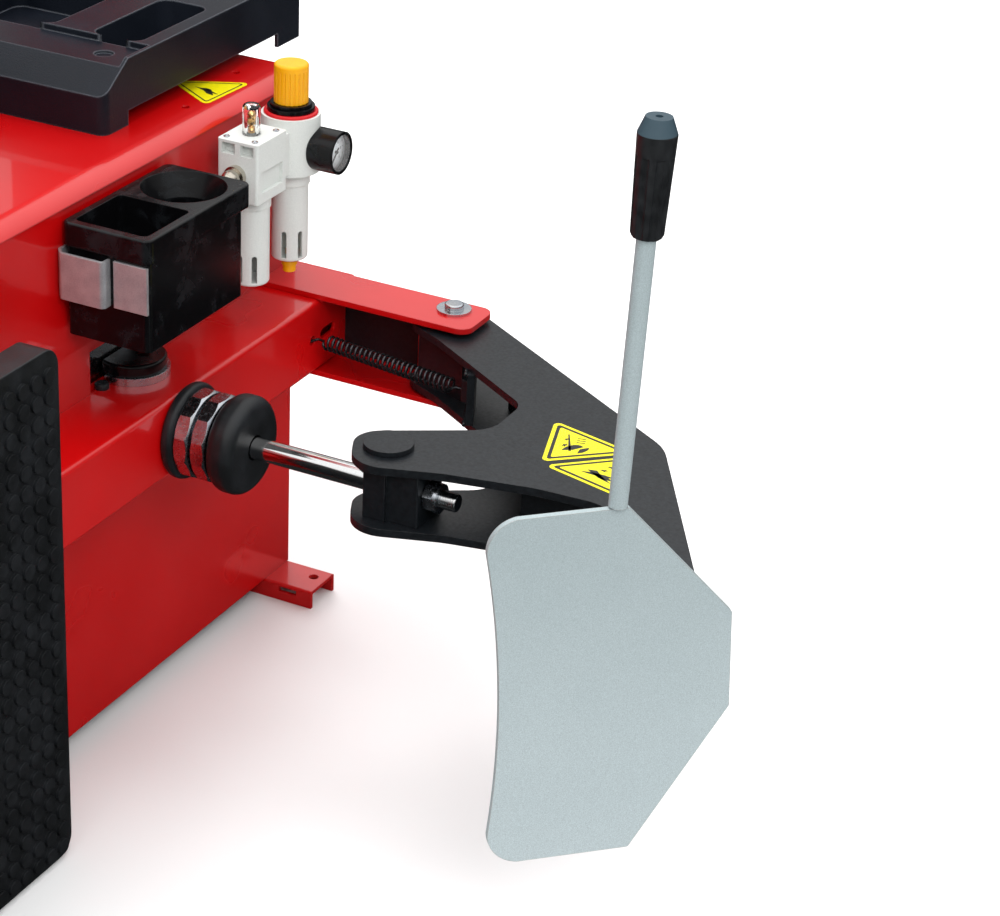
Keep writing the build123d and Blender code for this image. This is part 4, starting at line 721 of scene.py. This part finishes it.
def small_parts():
    """Bolt beside the boss, and a black sheet over the bracket's web, which paints the shade that
    the web lies in.
    """
    black = SLOT_MATERIALS["black_paint"]
    profile = [(0.0, 7.0), (5.0, 7.0), (6.5, 5.5), (6.5, 3.0), (5.0, 2.8), (5.0, 0.0)]
    head = turned(at(*BOSS_BOLT), UPWARD, profile, 24)
    bolt = piece("boss_bolt", *head, black, "frame")
    # Painted shade: a black sheet stands in for the deep shadow on the bracket's red web.
    corners = [at(x, WEB_Y, z) for x, z in WEB_CORNERS]
    sheet = piece("bracket_web_painted_shade", corners, [(0, 1, 2, 3)], black, "frame", smooth=False)


warning_foils()
return_spring()
rod_thread()
weld_beads()
gauge_face()
air_unit_details()
small_parts()


# ---------------------------------------------------------------- stage, light and camera
FLOOR_REACH = 14.0
LAMP_AIM = Vector((0.2, -0.1, 0.45))
SKY_RAMP = (("From Min", 0.0), ("From Max", 0.75), ("To Min", 0.02), ("To Max", 1.25))


def pale_floor():
    g = Graph("pale_floor", roughness=0.55)
    cloud = g.span(g.noise(3.0, 3.0), 0.3, 0.7)
    g.feed("base_color", g.mix(cloud, (0.88, 0.88, 0.88), (0.90, 0.90, 0.90)))
    return g.material


def stage():
    """A plain pale floor, left out of mirror images so that chrome stays dark below."""
    corners = [(x * FLOOR_REACH, y * FLOOR_REACH, 0.0)
               for x, y in ((-1, -1), (1, -1), (1, 1), (-1, 1))]
    mesh = bpy.data.meshes.new("floor")
    mesh.from_pydata(corners, [], [(0, 1, 2, 3)])
    floor = bpy.data.objects.new("floor", mesh)
    floor.visible_glossy = False
    mesh.materials.append(pale_floor())
    bpy.context.scene.collection.objects.link(floor)


def softbox(name, place, size, power):
    """A square lamp of that size in metres, turned towards the machine."""
    lamp = bpy.data.lights.new(name, "AREA")
    lamp.shape = "SQUARE"
    lamp.size = size
    lamp.energy = power
    made = bpy.data.objects.new(name, lamp)
    made.visible_glossy = False
    made.location = place
    made.rotation_euler = (LAMP_AIM - Vector(place)).to_track_quat("-Z", "Y").to_euler()
    bpy.context.scene.collection.objects.link(made)


def sky():
    """Even studio light from above the horizon and little from below it."""
    world = bpy.data.worlds.new("studio")
    world.use_nodes = True
    tree = world.node_tree
    heading = tree.nodes.new("ShaderNodeTexCoord").outputs["Generated"]
    split = tree.nodes.new("ShaderNodeSeparateXYZ")
    tree.links.new(heading, split.inputs[0])
    ramp = tree.nodes.new("ShaderNodeMapRange")
    ramp.interpolation_type = "SMOOTHSTEP"
    for key, value in SKY_RAMP:
        ramp.inputs[key].default_value = value
    tree.links.new(split.outputs["Z"], ramp.inputs["Value"])
    background = tree.nodes["Background"]
    background.inputs["Color"].default_value = (1.0, 1.0, 1.0, 1.0)
    tree.links.new(ramp.outputs["Result"], background.inputs["Strength"])
    bpy.context.scene.world = world


def lights():
    sky()
    softbox("key", (2.4, -2.2, 2.8), 1.6, 75.0)
    softbox("top", (-0.4, 0.2, 3.4), 2.4, 60.0)
    softbox("back", (-2.4, 3.2, 1.9), 3.0, 110.0)
    bpy.context.scene.view_settings.view_transform = "Standard"


CAMERA_PLACE = (1405.0, -2411.8, 1561.6)
CAMERA_DEGREES = (25.46, 26.71, 2.84)
LENS_LENGTH, SENSOR_WIDTH = 101.9, 36.0


def camera():
    """The photograph's viewpoint: place, heading, downward tilt and roll."""
    heading, tilt, roll = (math.radians(v) for v in CAMERA_DEGREES)
    level = Vector((math.cos(heading), math.sin(heading), 0.0))
    back = Vector((
        math.sin(heading) * math.cos(tilt),
        -math.cos(heading) * math.cos(tilt),
        math.sin(tilt),
    ))
    up = back.cross(level)
    right = level * math.cos(roll) + up * math.sin(roll)
    over = up * math.cos(roll) - level * math.sin(roll)
    lens = bpy.data.cameras.new("camera")
    lens.lens = LENS_LENGTH
    lens.sensor_width = SENSOR_WIDTH
    made = bpy.data.objects.new("camera", lens)
    turn = Matrix((right, over, back)).transposed().to_4x4()
    made.matrix_world = Matrix.Translation(at(*CAMERA_PLACE)) @ turn
    bpy.context.scene.collection.objects.link(made)
    bpy.context.scene.camera = made


stage()
lights()
camera()
